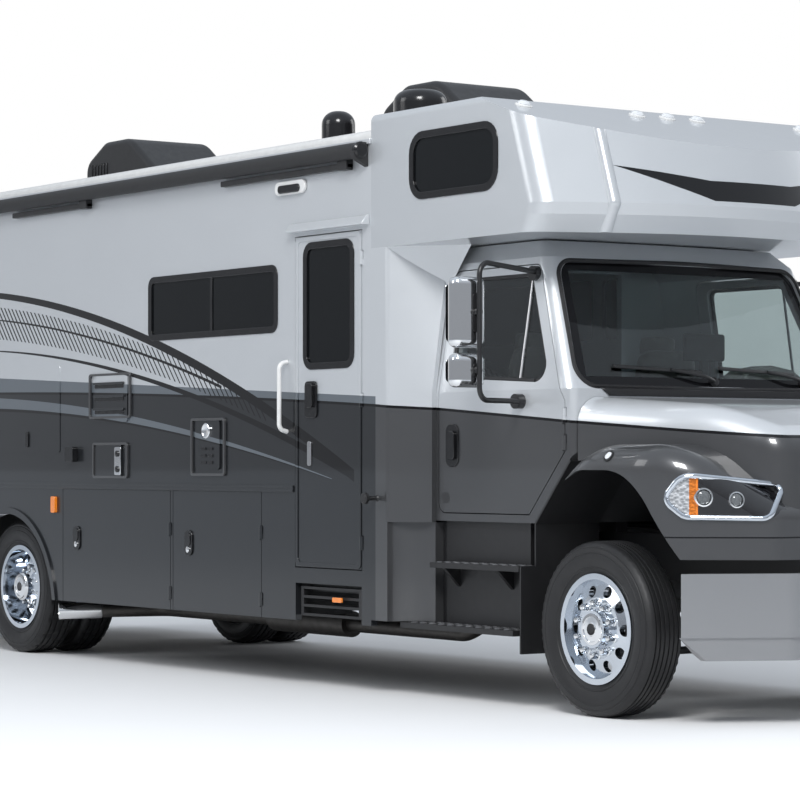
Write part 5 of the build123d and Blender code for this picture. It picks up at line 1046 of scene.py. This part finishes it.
def applied(item):
    """The object's mesh with its modifiers worked in."""
    graph = bpy.context.evaluated_depsgraph_get()
    data = bpy.data.meshes.new_from_object(item.evaluated_get(graph))
    item.modifiers.clear()
    item.data = data
    return data


def swell(data, limit):
    """Blow a pad up by a cloth simulation. No point moves farther than the limit."""
    scene = bpy.context.scene
    item = bpy.data.objects.new("pad", data)
    scene.collection.objects.link(item)
    even = item.modifiers.new("even", "REMESH")
    even.mode = "VOXEL"
    even.voxel_size = PAD_VOXEL
    start = [vertex.co.copy() for vertex in applied(item).vertices]
    cloth = item.modifiers.new("swell", "CLOTH")
    cloth.settings.use_pressure = True
    cloth.settings.uniform_pressure_force = PAD_PRESSURE
    cloth.settings.effector_weights.gravity = 0.0
    for step in range(1, PAD_STEPS + 1):
        scene.frame_set(step)
    data = applied(item)
    for vertex, place in zip(data.vertices, start):
        move = vertex.co - place
        if move.length > limit:
            vertex.co = place + move.normalized() * limit
    scene.frame_set(1)
    bpy.data.objects.remove(item)
    return data


def sew(data, half, channels):
    """Press sewn channels into the crowned face."""
    for vertex in data.vertices:
        across = vertex.co.y / half[1]
        groove = sum(math.exp(-((across - channel) / CHANNEL_W) ** 2) for channel in channels)
        face = min(max(vertex.co.z / half[2], 0.0), 1.0)
        edge = max(0.0, 1 - (abs(vertex.co.x) / half[0]) ** 6)
        vertex.co.z -= CHANNEL_DEPTH * groove * face * edge


def seat_pieces():
    """Two padded seats on boxed bases, with a post under each head pad."""
    low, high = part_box("seats")
    cushions, bases = bmesh.new(), bmesh.new()
    for x, z, half, lean, crown, limit, channels in CUSHIONS:
        data = pad_mesh(half, crown)
        data = swell(data, limit)
        sew(data, half, channels)
        for side_name, side in SIDES:
            copy = data.copy()
            place = Matrix.Translation((low.x + x, side * SEATS_Y, low.z + z))
            copy.transform(place @ Matrix.Rotation(math.radians(lean), 4, "Y"))
            cushions.from_mesh(copy)
    for side_name, side in SIDES:
        y = side * SEATS_Y
        add_plate(bases, rounded(low.x + 0.12, high.x - 0.14, y - 0.19, y + 0.19, 0.04), 0.28, on_top(low.z))
        post = [(low.x + 0.040, y - 0.05), (low.x + 0.070, y - 0.05), (low.x + 0.070, y + 0.05),
                (low.x + 0.040, y + 0.05)]
        add_plate(bases, post, 0.07, on_top(low.z + 0.90))
    item = piece("seat_cushions", cushions, "leather", smooth=60.0)
    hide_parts("seats")
    piece("seat_bases", bases, "grey", bevel=0.006)


# Headlamps, markers and clearance lamps. Turned profiles are (radius, height).

LAMP_CORNERS = [
    # x back from the lamp's front end, z up from its lower edge, corner radius
    (0.307, 0.235, 0.070), (0.059, 0.172, 0.060), (0.006, 0.000, 0.025), (0.299, 0.006, 0.060),
    (0.391, 0.100, 0.060),
]
BEZEL_R = 0.016
BEZEL_LIFT = 0.003
PROJECTORS = [
    # x back from the lamp's front end, z up from its lower edge, radius
    (0.235, 0.112, 0.046), (0.128, 0.098, 0.040),
]
PROJECTOR_SINK = 0.005
PROJECTOR_RING = [(1.0, 0.0), (1.12, 0.010), (1.08, 0.019), (0.92, 0.020), (0.84, 0.010), (0.84, 0.0),
                  (1.0, 0.0)]
PROJECTOR_DOME = [(0.84, 0.002), (0.80, 0.014), (0.62, 0.021), (0.34, 0.025), (0.0, 0.027)]
MARKER_AHEAD = 0.16
MARKER_Z = 1.415
MARKER_RIM = [(0.034, -0.004), (0.034, 0.006), (0.028, 0.009), (0.024, 0.004)]
MARKER_DOME = [(0.025, 0.0), (0.022, 0.008), (0.012, 0.012), (0.0, 0.013)]
CLEARANCE_X = 3.30
CLEARANCE_Y = (-1.06, -0.23, 0.0, 0.23, 1.06)
CLEARANCE_BASE = [(0.050, -0.004), (0.050, 0.006), (0.042, 0.010), (0.040, 0.004)]
CLEARANCE_DOME = [(0.041, 0.0), (0.038, 0.016), (0.024, 0.028), (0.0, 0.032)]


def skin_point(side, x, z):
    """Point and normal on the outer skin of the hood at one side, or None."""
    ray = ((x, side * ASIDE, z), LEFT * -side)
    return cast("headlamps", *ray) or cast("hood_shell", *ray)


def headlamp_fittings():
    """A bright bezel and two projectors on each headlamp, and a marker on each fender."""
    low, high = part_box("headlamps")
    outline = round_polygon([(high.x - back, low.z + up) for back, up, radius in LAMP_CORNERS],
                            [radius for back, up, radius in LAMP_CORNERS], 6)
    bezel, rings, bulbs, rims, domes = (bmesh.new() for finish in range(5))
    for side_name, side in SIDES:
        points = filter(None, (skin_point(side, x, z) for x, z in outline))
        lifted = [point + normal * BEZEL_LIFT for point, normal in points]
        add_tube(bezel, lifted, BEZEL_R, closed=True, sides=12)
        for back, up, size in PROJECTORS:
            point, normal = skin_point(side, high.x - back, low.z + up)
            aim = (normal * 0.6 + FORWARD * 0.4).normalized()
            for mesh, profile in ((rings, PROJECTOR_RING), (bulbs, PROJECTOR_DOME)):
                scaled = [(size * radius, height) for radius, height in profile]
                add_lathe(mesh, scaled, point - aim * PROJECTOR_SINK, aim, 32)
        point, normal = skin_point(side, FRONT_AXLE_X + MARKER_AHEAD, MARKER_Z)
        add_lathe(rims, MARKER_RIM, point, normal, 28)
        add_lathe(domes, MARKER_DOME, point, normal, 24)
    for name, mesh, finish in (("headlamp_bezels", bezel, "alloy"), ("projector_rings", rings, "chrome"),
                               ("projector_lenses", bulbs, "bulb"), ("fender_marker_rims", rims, "black"),
                               ("fender_markers", domes, "clear")):
        piece(name, mesh, finish, "hood")


def clearance_lamps():
    """Five clear domes along the brow of the cap."""
    bases, domes = bmesh.new(), bmesh.new()
    for y in CLEARANCE_Y:
        point, normal = hit("front_cap", (CLEARANCE_X, y, ABOVE), -UP)
        add_lathe(bases, CLEARANCE_BASE, point, normal, 28)
        add_lathe(domes, CLEARANCE_DOME, point, normal, 28)
    piece("clearance_bases", bases, "white")
    piece("clearance_lamps", domes, "clear")


# Side fittings of the coach


def wall_plate(mesh, x, z, width, height, radius, depth, lift=0.0, side=-1.0):
    """A round-cornered plate on a side wall."""
    outline = rounded(x - width / 2, x + width / 2, z - height / 2, z + height / 2, radius, 5)
    add_plate(mesh, outline, side * depth, on_side(side * (WALL_Y + lift)))


TRIM_Z = 1.2175
TRIM_END = 0.02
TRIM_RIBS = [
    # z from the band's middle, height, depth
    (0.0, 0.042, 0.009), (0.011, 0.008, 0.013), (-0.011, 0.008, 0.013),
]
GUTTER_DROP = 0.012


def side_trim():
    """A ribbed band above the baggage doors and gutters along the eaves."""
    trim, gutter = bmesh.new(), bmesh.new()
    start = WALL_LOW.x
    for side_name, side in SIDES:
        end = (ENTRY_LOW.x if side < 0 else WALL_HIGH.x) - TRIM_END
        for offset, height, depth in TRIM_RIBS:
            wall_plate(trim, (start + end) / 2, TRIM_Z + offset, end - start, height, 0.003, depth, side=side)
        wall_plate(gutter, (start + WALL_HIGH.x) / 2, WALL_HIGH.z - GUTTER_DROP, WALL_HIGH.x - start,
                   0.030, 0.004, 0.014, side=side)
    piece("side_trim", trim, "charcoal", bevel=0.001)
    piece("eave_gutters", gutter, "silver", bevel=0.002)


LATCH_INSET = 0.205
LATCH_PLATES = [
    # z, width, height, corner radius, depth
    (0.856, 0.095, 0.165, 0.038, 0.010), (0.880, 0.060, 0.085, 0.024, 0.016),
]
LATCH_KEY_Z = 0.812
LATCH_KEY = [(0.020, 0.0), (0.020, 0.006), (0.012, 0.009), (0.0, 0.010)]


def baggage_latches():
    for side_name, side in SIDES:
        for name in ("rear_" + side_name, "front_" + side_name):
            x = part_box("baggage_door_" + name)[0].x + LATCH_INSET
            plates, key = bmesh.new(), bmesh.new()
            for z, *sizes in LATCH_PLATES:
                wall_plate(plates, x, z, *sizes, side=side)
            base = (x, side * (WALL_Y + LATCH_PLATES[0][-1]), LATCH_KEY_Z)
            add_lathe(key, LATCH_KEY, base, LEFT * side, 20)
            piece("latch_plate_" + name, plates, "gloss", "baggage_" + name, bevel=0.002)
            piece("latch_key_" + name, key, "chrome", "baggage_" + name)


PANEL_FRAMES = [
    # x and z limits of the louvre, utility and water panels
    (-1.300, -0.740, 1.685, 1.985), (-1.250, -0.780, 1.277, 1.512), (0.060, 0.470, 1.298, 1.663),
]
PANEL_OUT = 0.012
LOUVRES_Z = (1.900, 1.812, 1.724)
SLOT_PLATES = [
    # x, z, width, height, corner radius, depth, lift off the wall: louvres, water slots, inlet, vent
    *((-1.02, z, 0.40, 0.026, 0.012, 0.004, PANEL_OUT) for z in LOUVRES_Z),
    *((0.22 + 0.085 * column, 1.470 - 0.045 * row, 0.060, 0.020, 0.006, 0.006, PANEL_OUT)
      for row in range(3) for column in range(2)),
    (-1.54, 1.437, 0.115, 0.105, 0.015, 0.045, 0.0),
    (-2.22, 1.545, 0.040, 0.110, 0.012, 0.010, 0.004),
]
LOCK_PLATE = (-0.90, 1.390, 0.085, 0.190, 0.012, 0.006, PANEL_OUT)
LOCKS_Z = (1.335, 1.440)
LOCK_PROFILE = [(0.022, 0.0), (0.022, 0.008), (0.014, 0.012), (0.0, 0.012)]
WATER_CAP_X = 0.26
WATER_CAP_Z = 1.585
WATER_CAP = [(0.050, 0.0), (0.050, 0.012), (0.042, 0.016), (0.030, 0.010), (0.0, 0.010)]
SIDE_MARKERS = [
    # the same columns, without a lift
    (-1.815, 1.084, 0.060, 0.115, 0.012, 0.022), (WALL_HIGH.x - 0.35, 0.55, 0.10, 0.030, 0.008, 0.012),
]


def panel_frames():
    """Thin raised frames round the service panels. Their plain grey is a painted highlight along the panel
    edges, which have the wall's own paint.
    """
    mesh = bmesh.new()
    for limits in PANEL_FRAMES:
        add_ring(mesh, grown(limits, 0.004, 0.022), grown(limits, -0.012, 0.012), -0.016, on_side(-WALL_Y))
    piece("panel_frames", mesh, "panel", bevel=0.002)


def panel_fittings():
    """Louvres, locks, caps and markers on the right side."""
    slots, locks, lips, markers = (bmesh.new() for finish in range(4))
    for plate in SLOT_PLATES:
        wall_plate(slots, *plate)
    for z in LOCKS_Z:
        add_lathe(slots, LOCK_PROFILE, (LOCK_PLATE[0], -WALL_Y - PANEL_OUT - LOCK_PLATE[5], z), -LEFT, 20)
    wall_plate(locks, *LOCK_PLATE)
    add_lathe(locks, WATER_CAP, (WATER_CAP_X, -WALL_Y - PANEL_OUT, WATER_CAP_Z), -LEFT, 32)
    for z in LOUVRES_Z:
        wall_plate(lips, -1.02, z + 0.020, 0.42, 0.016, 0.007, 0.012, PANEL_OUT)
    for plate in SIDE_MARKERS:
        wall_plate(markers, *plate)
    for name, mesh, finish in (("panel_slots", slots, "gloss"), ("panel_locks", locks, "chrome"),
                               ("panel_lips", lips, "charcoal"), ("side_markers", markers, "amber")):
        piece(name, mesh, finish, bevel=0.0015)


ENTRY_LIMITS = (ENTRY_LOW.x + 0.004, ENTRY_HIGH.x - 0.018, ENTRY_LOW.z + 0.004, ENTRY_HIGH.z - 0.004)
HANDLE_PLATES = [(1.47, 1.765, 0.130, 0.225, 0.030, 0.012), (1.475, 1.79, 0.070, 0.150, 0.022, 0.030)]
KEYPAD = (1.45, 1.435, 0.042, 0.150, 0.014, 0.008)
GUTTER_PROFILE = [
    # distance out from the wall, z
    (0.0, 0.0), (0.055, 0.0), (0.055, 0.010), (0.020, 0.055), (0.0, 0.060),
]
GUTTER_OVER_DOOR = 0.030
GUTTER_L = 0.84
DOOR_SIDE = 0.04
PORCH_LIGHT = (ENTRY_LOW.x - DOOR_SIDE, 3.078, 0.34, 0.085, 0.042, 0.022)
PORCH_LENS = (ENTRY_LOW.x - DOOR_SIDE, 3.070, 0.24, 0.050, 0.024, 0.034)
HOLDER_AT = (2.17, -WALL_Y, 1.169)
HOLDER = [(0.020, 0.0), (0.014, 0.010), (0.014, 0.070), (0.034, 0.078), (0.034, 0.096), (0.024, 0.104),
          (0.0, 0.104)]


def entry_fittings():
    """Handle, keypad and edge frame on the entry door, and its gutter, porch light and holder."""
    handle, keys, edge, gutter, light, base, holder = (bmesh.new() for finish in range(7))
    for plate in HANDLE_PLATES:
        wall_plate(handle, *plate)
    wall_plate(keys, *KEYPAD)
    outer, inner = grown(ENTRY_LIMITS, 0.0, 0.03), grown(ENTRY_LIMITS, -0.026, 0.03)
    add_ring(edge, outer, inner, -0.006, on_side(-WALL_Y))
    piece("entry_handle", handle, "gloss", "entry_door_body", bevel=0.003)
    piece("entry_keypad", keys, "steel", "entry_door_body", "chrome", 0.001)
    piece("entry_door_edge", edge, "coach", "entry_door_body", bevel=0.002)
    profile = [(-WALL_Y - out, ENTRY_HIGH.z + GUTTER_OVER_DOOR + up) for out, up in GUTTER_PROFILE]
    add_plate(gutter, profile, GUTTER_L, on_front(ENTRY_LOW.x - DOOR_SIDE))
    wall_plate(base, *PORCH_LIGHT)
    wall_plate(light, *PORCH_LENS)
    add_lathe(holder, HOLDER, HOLDER_AT, -LEFT, 24)
    piece("entry_gutter", gutter, "silver", bevel=0.003)
    piece("porch_light_base", base, "white", bevel=0.006)
    piece("porch_light_lens", light, "gloss", slot="lamp_clear", bevel=0.006)
    piece("door_holder", holder, "black")


AWNING_ARMS_X = [(0.47, 1.92), (-2.39, -1.28)]
AWNING_R = 0.048
AWNING_CAP = [(0.050, -0.020), (0.050, 0.004), (0.038, 0.012), (0.016, 0.012), (0.0, 0.016)]


def awning_fittings():
    """Flat arms under the roller and round end caps."""
    low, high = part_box("awning")
    arms, caps = bmesh.new(), bmesh.new()
    for x0, x1 in AWNING_ARMS_X:
        wall_plate(arms, (x0 + x1) / 2, low.z + 0.018, x1 - x0, 0.036, 0.008, 0.040)
        wall_plate(arms, x1 - 0.05, low.z + 0.030, 0.10, 0.075, 0.010, 0.050)
    for x, way in ((low.x, -1.0), (high.x, 1.0)):
        add_lathe(caps, AWNING_CAP, (x, low.y + AWNING_R, high.z - AWNING_R), FORWARD * way, 28)
    piece("awning_arms", arms, "black", slot="awning_black", bevel=0.003)
    piece("awning_caps", caps, "gloss", slot="awning_black")


# Cab fittings

CAB_DOOR_Y = 1.075
CAB_HANDLE_X = 0.135
CAB_HANDLE_Z = 1.480
CAB_HANDLE_PLATES = [
    # x limits and half height from the handle's middle, corner radius, depth
    (-0.062, 0.062, 0.125, 0.050, 0.008), (-0.030, 0.042, 0.085, 0.028, 0.026),
]
CAB_SEAL_R = 0.014
CAB_SEAL_IN = 0.010
CAB_SEAL_LIFT = 0.001
BAR_R = 0.009
BAR_BACK = 0.24
BAR_LIFT = 0.002
BAR_SHARES = (0.03, 0.3, 0.6, 0.95)


def cab_door_fittings():
    """Handle, window seal and window bar of each cab door."""
    for side_name, side in SIDES:
        body = "cab_door_body_" + side_name
        pane = "cab_glass_" + side_name
        out = LEFT * side
        handle, seal, bar = bmesh.new(), bmesh.new(), bmesh.new()
        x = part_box("cab_door_" + side_name)[0].x + CAB_HANDLE_X
        for x0, x1, half, radius, depth in CAB_HANDLE_PLATES:
            outline = rounded(x + x0, x + x1, CAB_HANDLE_Z - half, CAB_HANDLE_Z + half, radius)
            add_plate(handle, outline, side * depth, on_side(side * CAB_DOOR_Y))
        edge = pane_edge(pane, 0, 1, side)
        middle = sum(edge, Vector()) / len(edge)
        line = [point + (middle - point).normalized() * CAB_SEAL_IN + out * CAB_SEAL_LIFT for point in edge]
        add_tube(seal, line, CAB_SEAL_R, closed=True)
        low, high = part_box(pane)
        heights = [low.z + share * (high.z - low.z) for share in BAR_SHARES]
        spots = [hit(pane, (high.x - BAR_BACK, side * ASIDE, z), -out)[0] for z in heights]
        add_tube(bar, [spot + out * BAR_LIFT for spot in spots], BAR_R)
        piece("cab_handle_" + side_name, handle, "gloss", body, bevel=0.004)
        piece("cab_window_seal_" + side_name, seal, "rubber", body)
        piece("window_bar_" + side_name, bar, "steel", body)


MIRROR_PANES_Z = [(2.05, 2.375), (1.825, 1.955)]
MIRROR_PANE_IN = (0.190, 0.025)
MIRROR_RECESSES_Z = [(2.10, 2.32), (1.85, 1.93)]
MIRROR_TUBE_IN = 0.140
MIRROR_RECESS_HALF = 0.028
MIRROR_FRONT_T = 0.042


def mirror_panes():
    """The reflecting panes on the rear faces of the mirror heads, and black recesses on the front ones."""
    for side_name, side in SIDES:
        low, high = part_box("mirror_" + side_name)
        reach = max(abs(low.y), abs(high.y))
        panes, recesses = bmesh.new(), bmesh.new()
        y0, y1 = sorted(side * (reach - inset) for inset in MIRROR_PANE_IN)
        for z0, z1 in MIRROR_PANES_Z:
            add_plate(panes, rounded(y0, y1, z0, z1, 0.025), -0.003, on_front(low.x + 0.002))
        y = side * (reach - MIRROR_TUBE_IN)
        for z0, z1 in MIRROR_RECESSES_Z:
            outline = rounded(y - MIRROR_RECESS_HALF, y + MIRROR_RECESS_HALF, z0, z1, 0.027)
            add_plate(recesses, outline, 0.003, on_front(high.x - MIRROR_FRONT_T))
        piece("mirror_panes_" + side_name, panes, "chrome", "cab_door_body_" + side_name, bevel=0.001)
        piece("mirror_recesses_" + side_name, recesses, "black", "cab_door_body_" + side_name, bevel=0.001)


STEP_TREADS = [
    # top z, x limits, rows of grips
    (0.800, 2.56, 3.37, 4), (0.440, 2.32, 3.37, 5),
]
GRIP_Y = 1.055
GRIP_PITCH = 0.045
GRIP_ROW = 0.029
GRIP_HALF_L = 0.015
GRIP_HALF_W = 0.0045
GRIP_H = 0.004
SHIELD_Y = 1.015
SHIELD_Z = (0.442, 1.035)
SHIELD_X = (0.004, 0.26)


def step_grips():
    """Rows of raised lozenges on the cab's treads, and plain shields behind the steps."""
    grips, shields = bmesh.new(), bmesh.new()
    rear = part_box("cab_steps")[0].x
    for side_name, side in SIDES:
        for z, x0, x1, rows in STEP_TREADS:
            for row in range(rows):
                for step in range(int((x1 - x0) / GRIP_PITCH)):
                    x = x0 + (step + 0.5 + 0.5 * (row % 2)) * GRIP_PITCH
                    y = side * (GRIP_Y + row * GRIP_ROW)
                    turn = math.radians(45 if (row + step) % 2 else -45)
                    along = Vector((math.cos(turn), math.sin(turn))) * GRIP_HALF_L
                    wide = Vector((-math.sin(turn), math.cos(turn))) * GRIP_HALF_W
                    outline = [(x + tip.x, y + tip.y) for tip in (along, wide, -along, -wide)]
                    add_plate(grips, outline, GRIP_H, on_top(z))
        outline = rounded(*(rear + limit for limit in SHIELD_X), *SHIELD_Z, 0.02, 3)
        add_plate(shields, outline, side * 0.006, on_side(side * SHIELD_Y))
    piece("step_grips", grips, "steel", slot="step_black")
    piece("step_shields", shields, "black", slot="step_black", bevel=0.001)


WIRES_ACROSS = 34
WIRES_UP = 18
WIRE_R = 0.0035
WIRE_BACK = 0.012
SCREEN_EDGE = 0.02
GRILLE_T = 0.04


def grille_screen():
    """A fine dark screen of crossed wires behind the grille."""
    low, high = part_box("grille")
    mesh = bmesh.new()
    lean = (high.x - GRILLE_T - low.x) / (high.z - low.z)
    y0, y1, z0, z1 = low.y + SCREEN_EDGE, high.y - SCREEN_EDGE, low.z + SCREEN_EDGE, high.z - SCREEN_EDGE
    top_x = low.x - WIRE_BACK
    for wire in range(WIRES_ACROSS + 1):
        y = y0 + (y1 - y0) * wire / WIRES_ACROSS
        add_tube(mesh, [(top_x + lean * (high.z - low.z), y, z0), (top_x, y, z1)], WIRE_R, sides=4)
    for row in range(WIRES_UP + 1):
        z = z0 + (z1 - z0) * row / WIRES_UP
        x = top_x + lean * (high.z - z)
        add_tube(mesh, [(x, y0, z), (x, y1, z)], WIRE_R, sides=4)
    piece("grille_screen", mesh, "black", "hood")


# Exhaust, roof and rear

TIP_TURN = Vector((REAR_AXLE_X + 1.05, -0.56, 0.34))
TIP_END = Vector((REAR_AXLE_X + 0.70, -WALL_Y + 0.042, 0.33))
TIP_PROFILE = [
    # radius, distance past the pipe's end
    (0.052, -0.30), (0.056, -0.29), (0.058, -0.02), (0.060, 0.004), (0.055, 0.006), (0.052, -0.05),
]
LOUVRE_COUNT = 6
LOUVRE_START = 0.10
LOUVRE_PITCH = 0.045
LOUVRE_W = 0.020
TALL_LAMP = 0.25
REVERSING_HALF = 0.045


def exhaust_tip():
    """A polished sleeve on the outward end of the exhaust."""
    mesh = bmesh.new()
    add_lathe(mesh, TIP_PROFILE, TIP_END, TIP_END - TIP_TURN, 36)
    piece("exhaust_tip", mesh, "chrome", slot="exhaust_steel")


def roof_details():
    """Louvred sides and a skirt on each roof unit."""
    mesh = bmesh.new()
    for low, high in islands("air_conditioners"):
        for number in range(LOUVRE_COUNT):
            x = low.x + LOUVRE_START + LOUVRE_PITCH * number
            outline = rounded(x, x + LOUVRE_W, low.z + 0.06, low.z + 0.20, 0.008, 3)
            add_plate(mesh, outline, -0.006, on_side(low.y))
            add_plate(mesh, outline, 0.006, on_side(high.y))
        limits = (low.x, high.x, low.y, high.y)
        add_ring(mesh, grown(limits, 0.01, 0.03), grown(limits, -0.02, 0.02), 0.03, on_top(low.z))
    piece("roof_unit_louvres", mesh, "gloss", bevel=0.002)


def rear_fittings():
    """Lamp surrounds with reversing lenses."""
    rims, lenses = bmesh.new(), bmesh.new()
    face = on_front(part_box("tail_lamps")[0].x)
    for low, high in islands("tail_lamps"):
        if high.z - low.z > TALL_LAMP:
            limits = (low.y, high.y, low.z, high.z)
            add_ring(rims, grown(limits, 0.016, 0.022), grown(limits, -0.010, 0.012), -0.004, face)
            middle = (low.z + high.z) / 2
            z0, z1 = middle - REVERSING_HALF, middle + REVERSING_HALF
            add_plate(lenses, rounded(low.y + 0.014, high.y - 0.014, z0, z1, 0.010), -0.003, face)
    piece("tail_lamp_rims", rims, "gloss", bevel=0.0015)
    piece("reversing_lenses", lenses, "clear", bevel=0.001)


# Floor, light and camera

FLOOR_HALF = 400.0
FLOOR_T = 0.02
BACKDROP = (-0.817, 0.576)
BACKDROP_EDGE = (0.45, 0.90)
BACKDROP_TOP = (0.19, 0.30)
TENT_HEIGHTS = (-0.05, 0.75)
LIGHTS = [
    # name, place, target, size, power
    ("key", (12.0, -9.0, 12.0), (1.5, 0.0, 1.5), 5.0, 2000.0),
    ("side", (-6.0, -15.0, 9.0), (-1.0, 0.0, 1.5), 7.0, 480.0),
    ("back", (3.0, 15.0, 8.0), (0.0, 0.0, 2.0), 7.0, 420.0),
]
CAMERA_AT = (16.076, -10.918, 1.381)
CAMERA_TURN = 54.82
CAMERA_LENS = 128.7
CAMERA_SHIFT = 0.078


def shown(name, data):
    """A new object in the scene."""
    item = bpy.data.objects.new(name, data)
    bpy.context.scene.collection.objects.link(item)
    return item


def studio_floor():
    mesh = bmesh.new()
    corners = [(-FLOOR_HALF, -FLOOR_HALF), (FLOOR_HALF, -FLOOR_HALF), (FLOOR_HALF, FLOOR_HALF),
               (-FLOOR_HALF, FLOOR_HALF)]
    add_plate(mesh, corners, -FLOOR_T, on_top(0.0))
    data = bpy.data.meshes.new("floor")
    mesh.to_mesh(data)
    mesh.free()
    graph = Surface("floor_surface", FLOOR_WHITE, 0.75)
    graph.vary(FLOOR_WHITE, 0.02, 0.7)
    data.materials.append(graph.material)
    floor = shown("floor", data)


def studio_light():
    """White low surroundings behind the vehicle, a greyer tent elsewhere, and soft lamps."""
    world = bpy.data.worlds.new("studio")
    bpy.context.scene.world = world
    bpy.context.scene.view_settings.view_transform = "Standard"
    world.use_nodes = True
    graph = Graph(world.node_tree, "Generated")
    tent = graph.mix(graph.ramp(graph.z, *TENT_HEIGHTS), TENT_LOW, TENT_HIGH)
    toward = graph.line(graph.x, BACKDROP[0], graph.times(graph.y, BACKDROP[1]))
    below = graph.math("SUBTRACT", 1.0, graph.ramp(graph.z, *BACKDROP_TOP))
    behind = graph.times(graph.ramp(toward, *BACKDROP_EDGE), below)
    graph.link(graph.mix(behind, tent, WHITE), world.node_tree.nodes["Background"].inputs["Color"])
    for name, place, target, size, power in LIGHTS:
        lamp = bpy.data.lights.new(name, "AREA")
        lamp.size = size
        lamp.energy = power
        holder = shown(name, lamp)
        holder.location = place
        holder.rotation_euler = (Vector(target) - Vector(place)).to_track_quat("-Z", "Y").to_euler()


def studio_camera():
    """The photo's camera, fitted to the vehicle's known points."""
    camera = bpy.data.cameras.new("camera")
    camera.lens = CAMERA_LENS
    camera.sensor_width = 36.0
    camera.shift_y = CAMERA_SHIFT
    camera.clip_end = 300.0
    holder = shown("camera", camera)
    holder.location = CAMERA_AT
    holder.rotation_euler = (math.radians(90), 0.0, math.radians(CAMERA_TURN))
    bpy.context.scene.camera = holder


tyres()
hubs()
window_frames()
windshield_seal()
wipers()
cowl_panel()
dash_fittings()
seat_pieces()
headlamp_fittings()
clearance_lamps()
side_trim()
baggage_latches()
panel_frames()
panel_fittings()
entry_fittings()
awning_fittings()
cab_door_fittings()
mirror_panes()
step_grips()
grille_screen()
exhaust_tip()
roof_details()
rear_fittings()
studio_floor()
studio_light()
studio_camera()
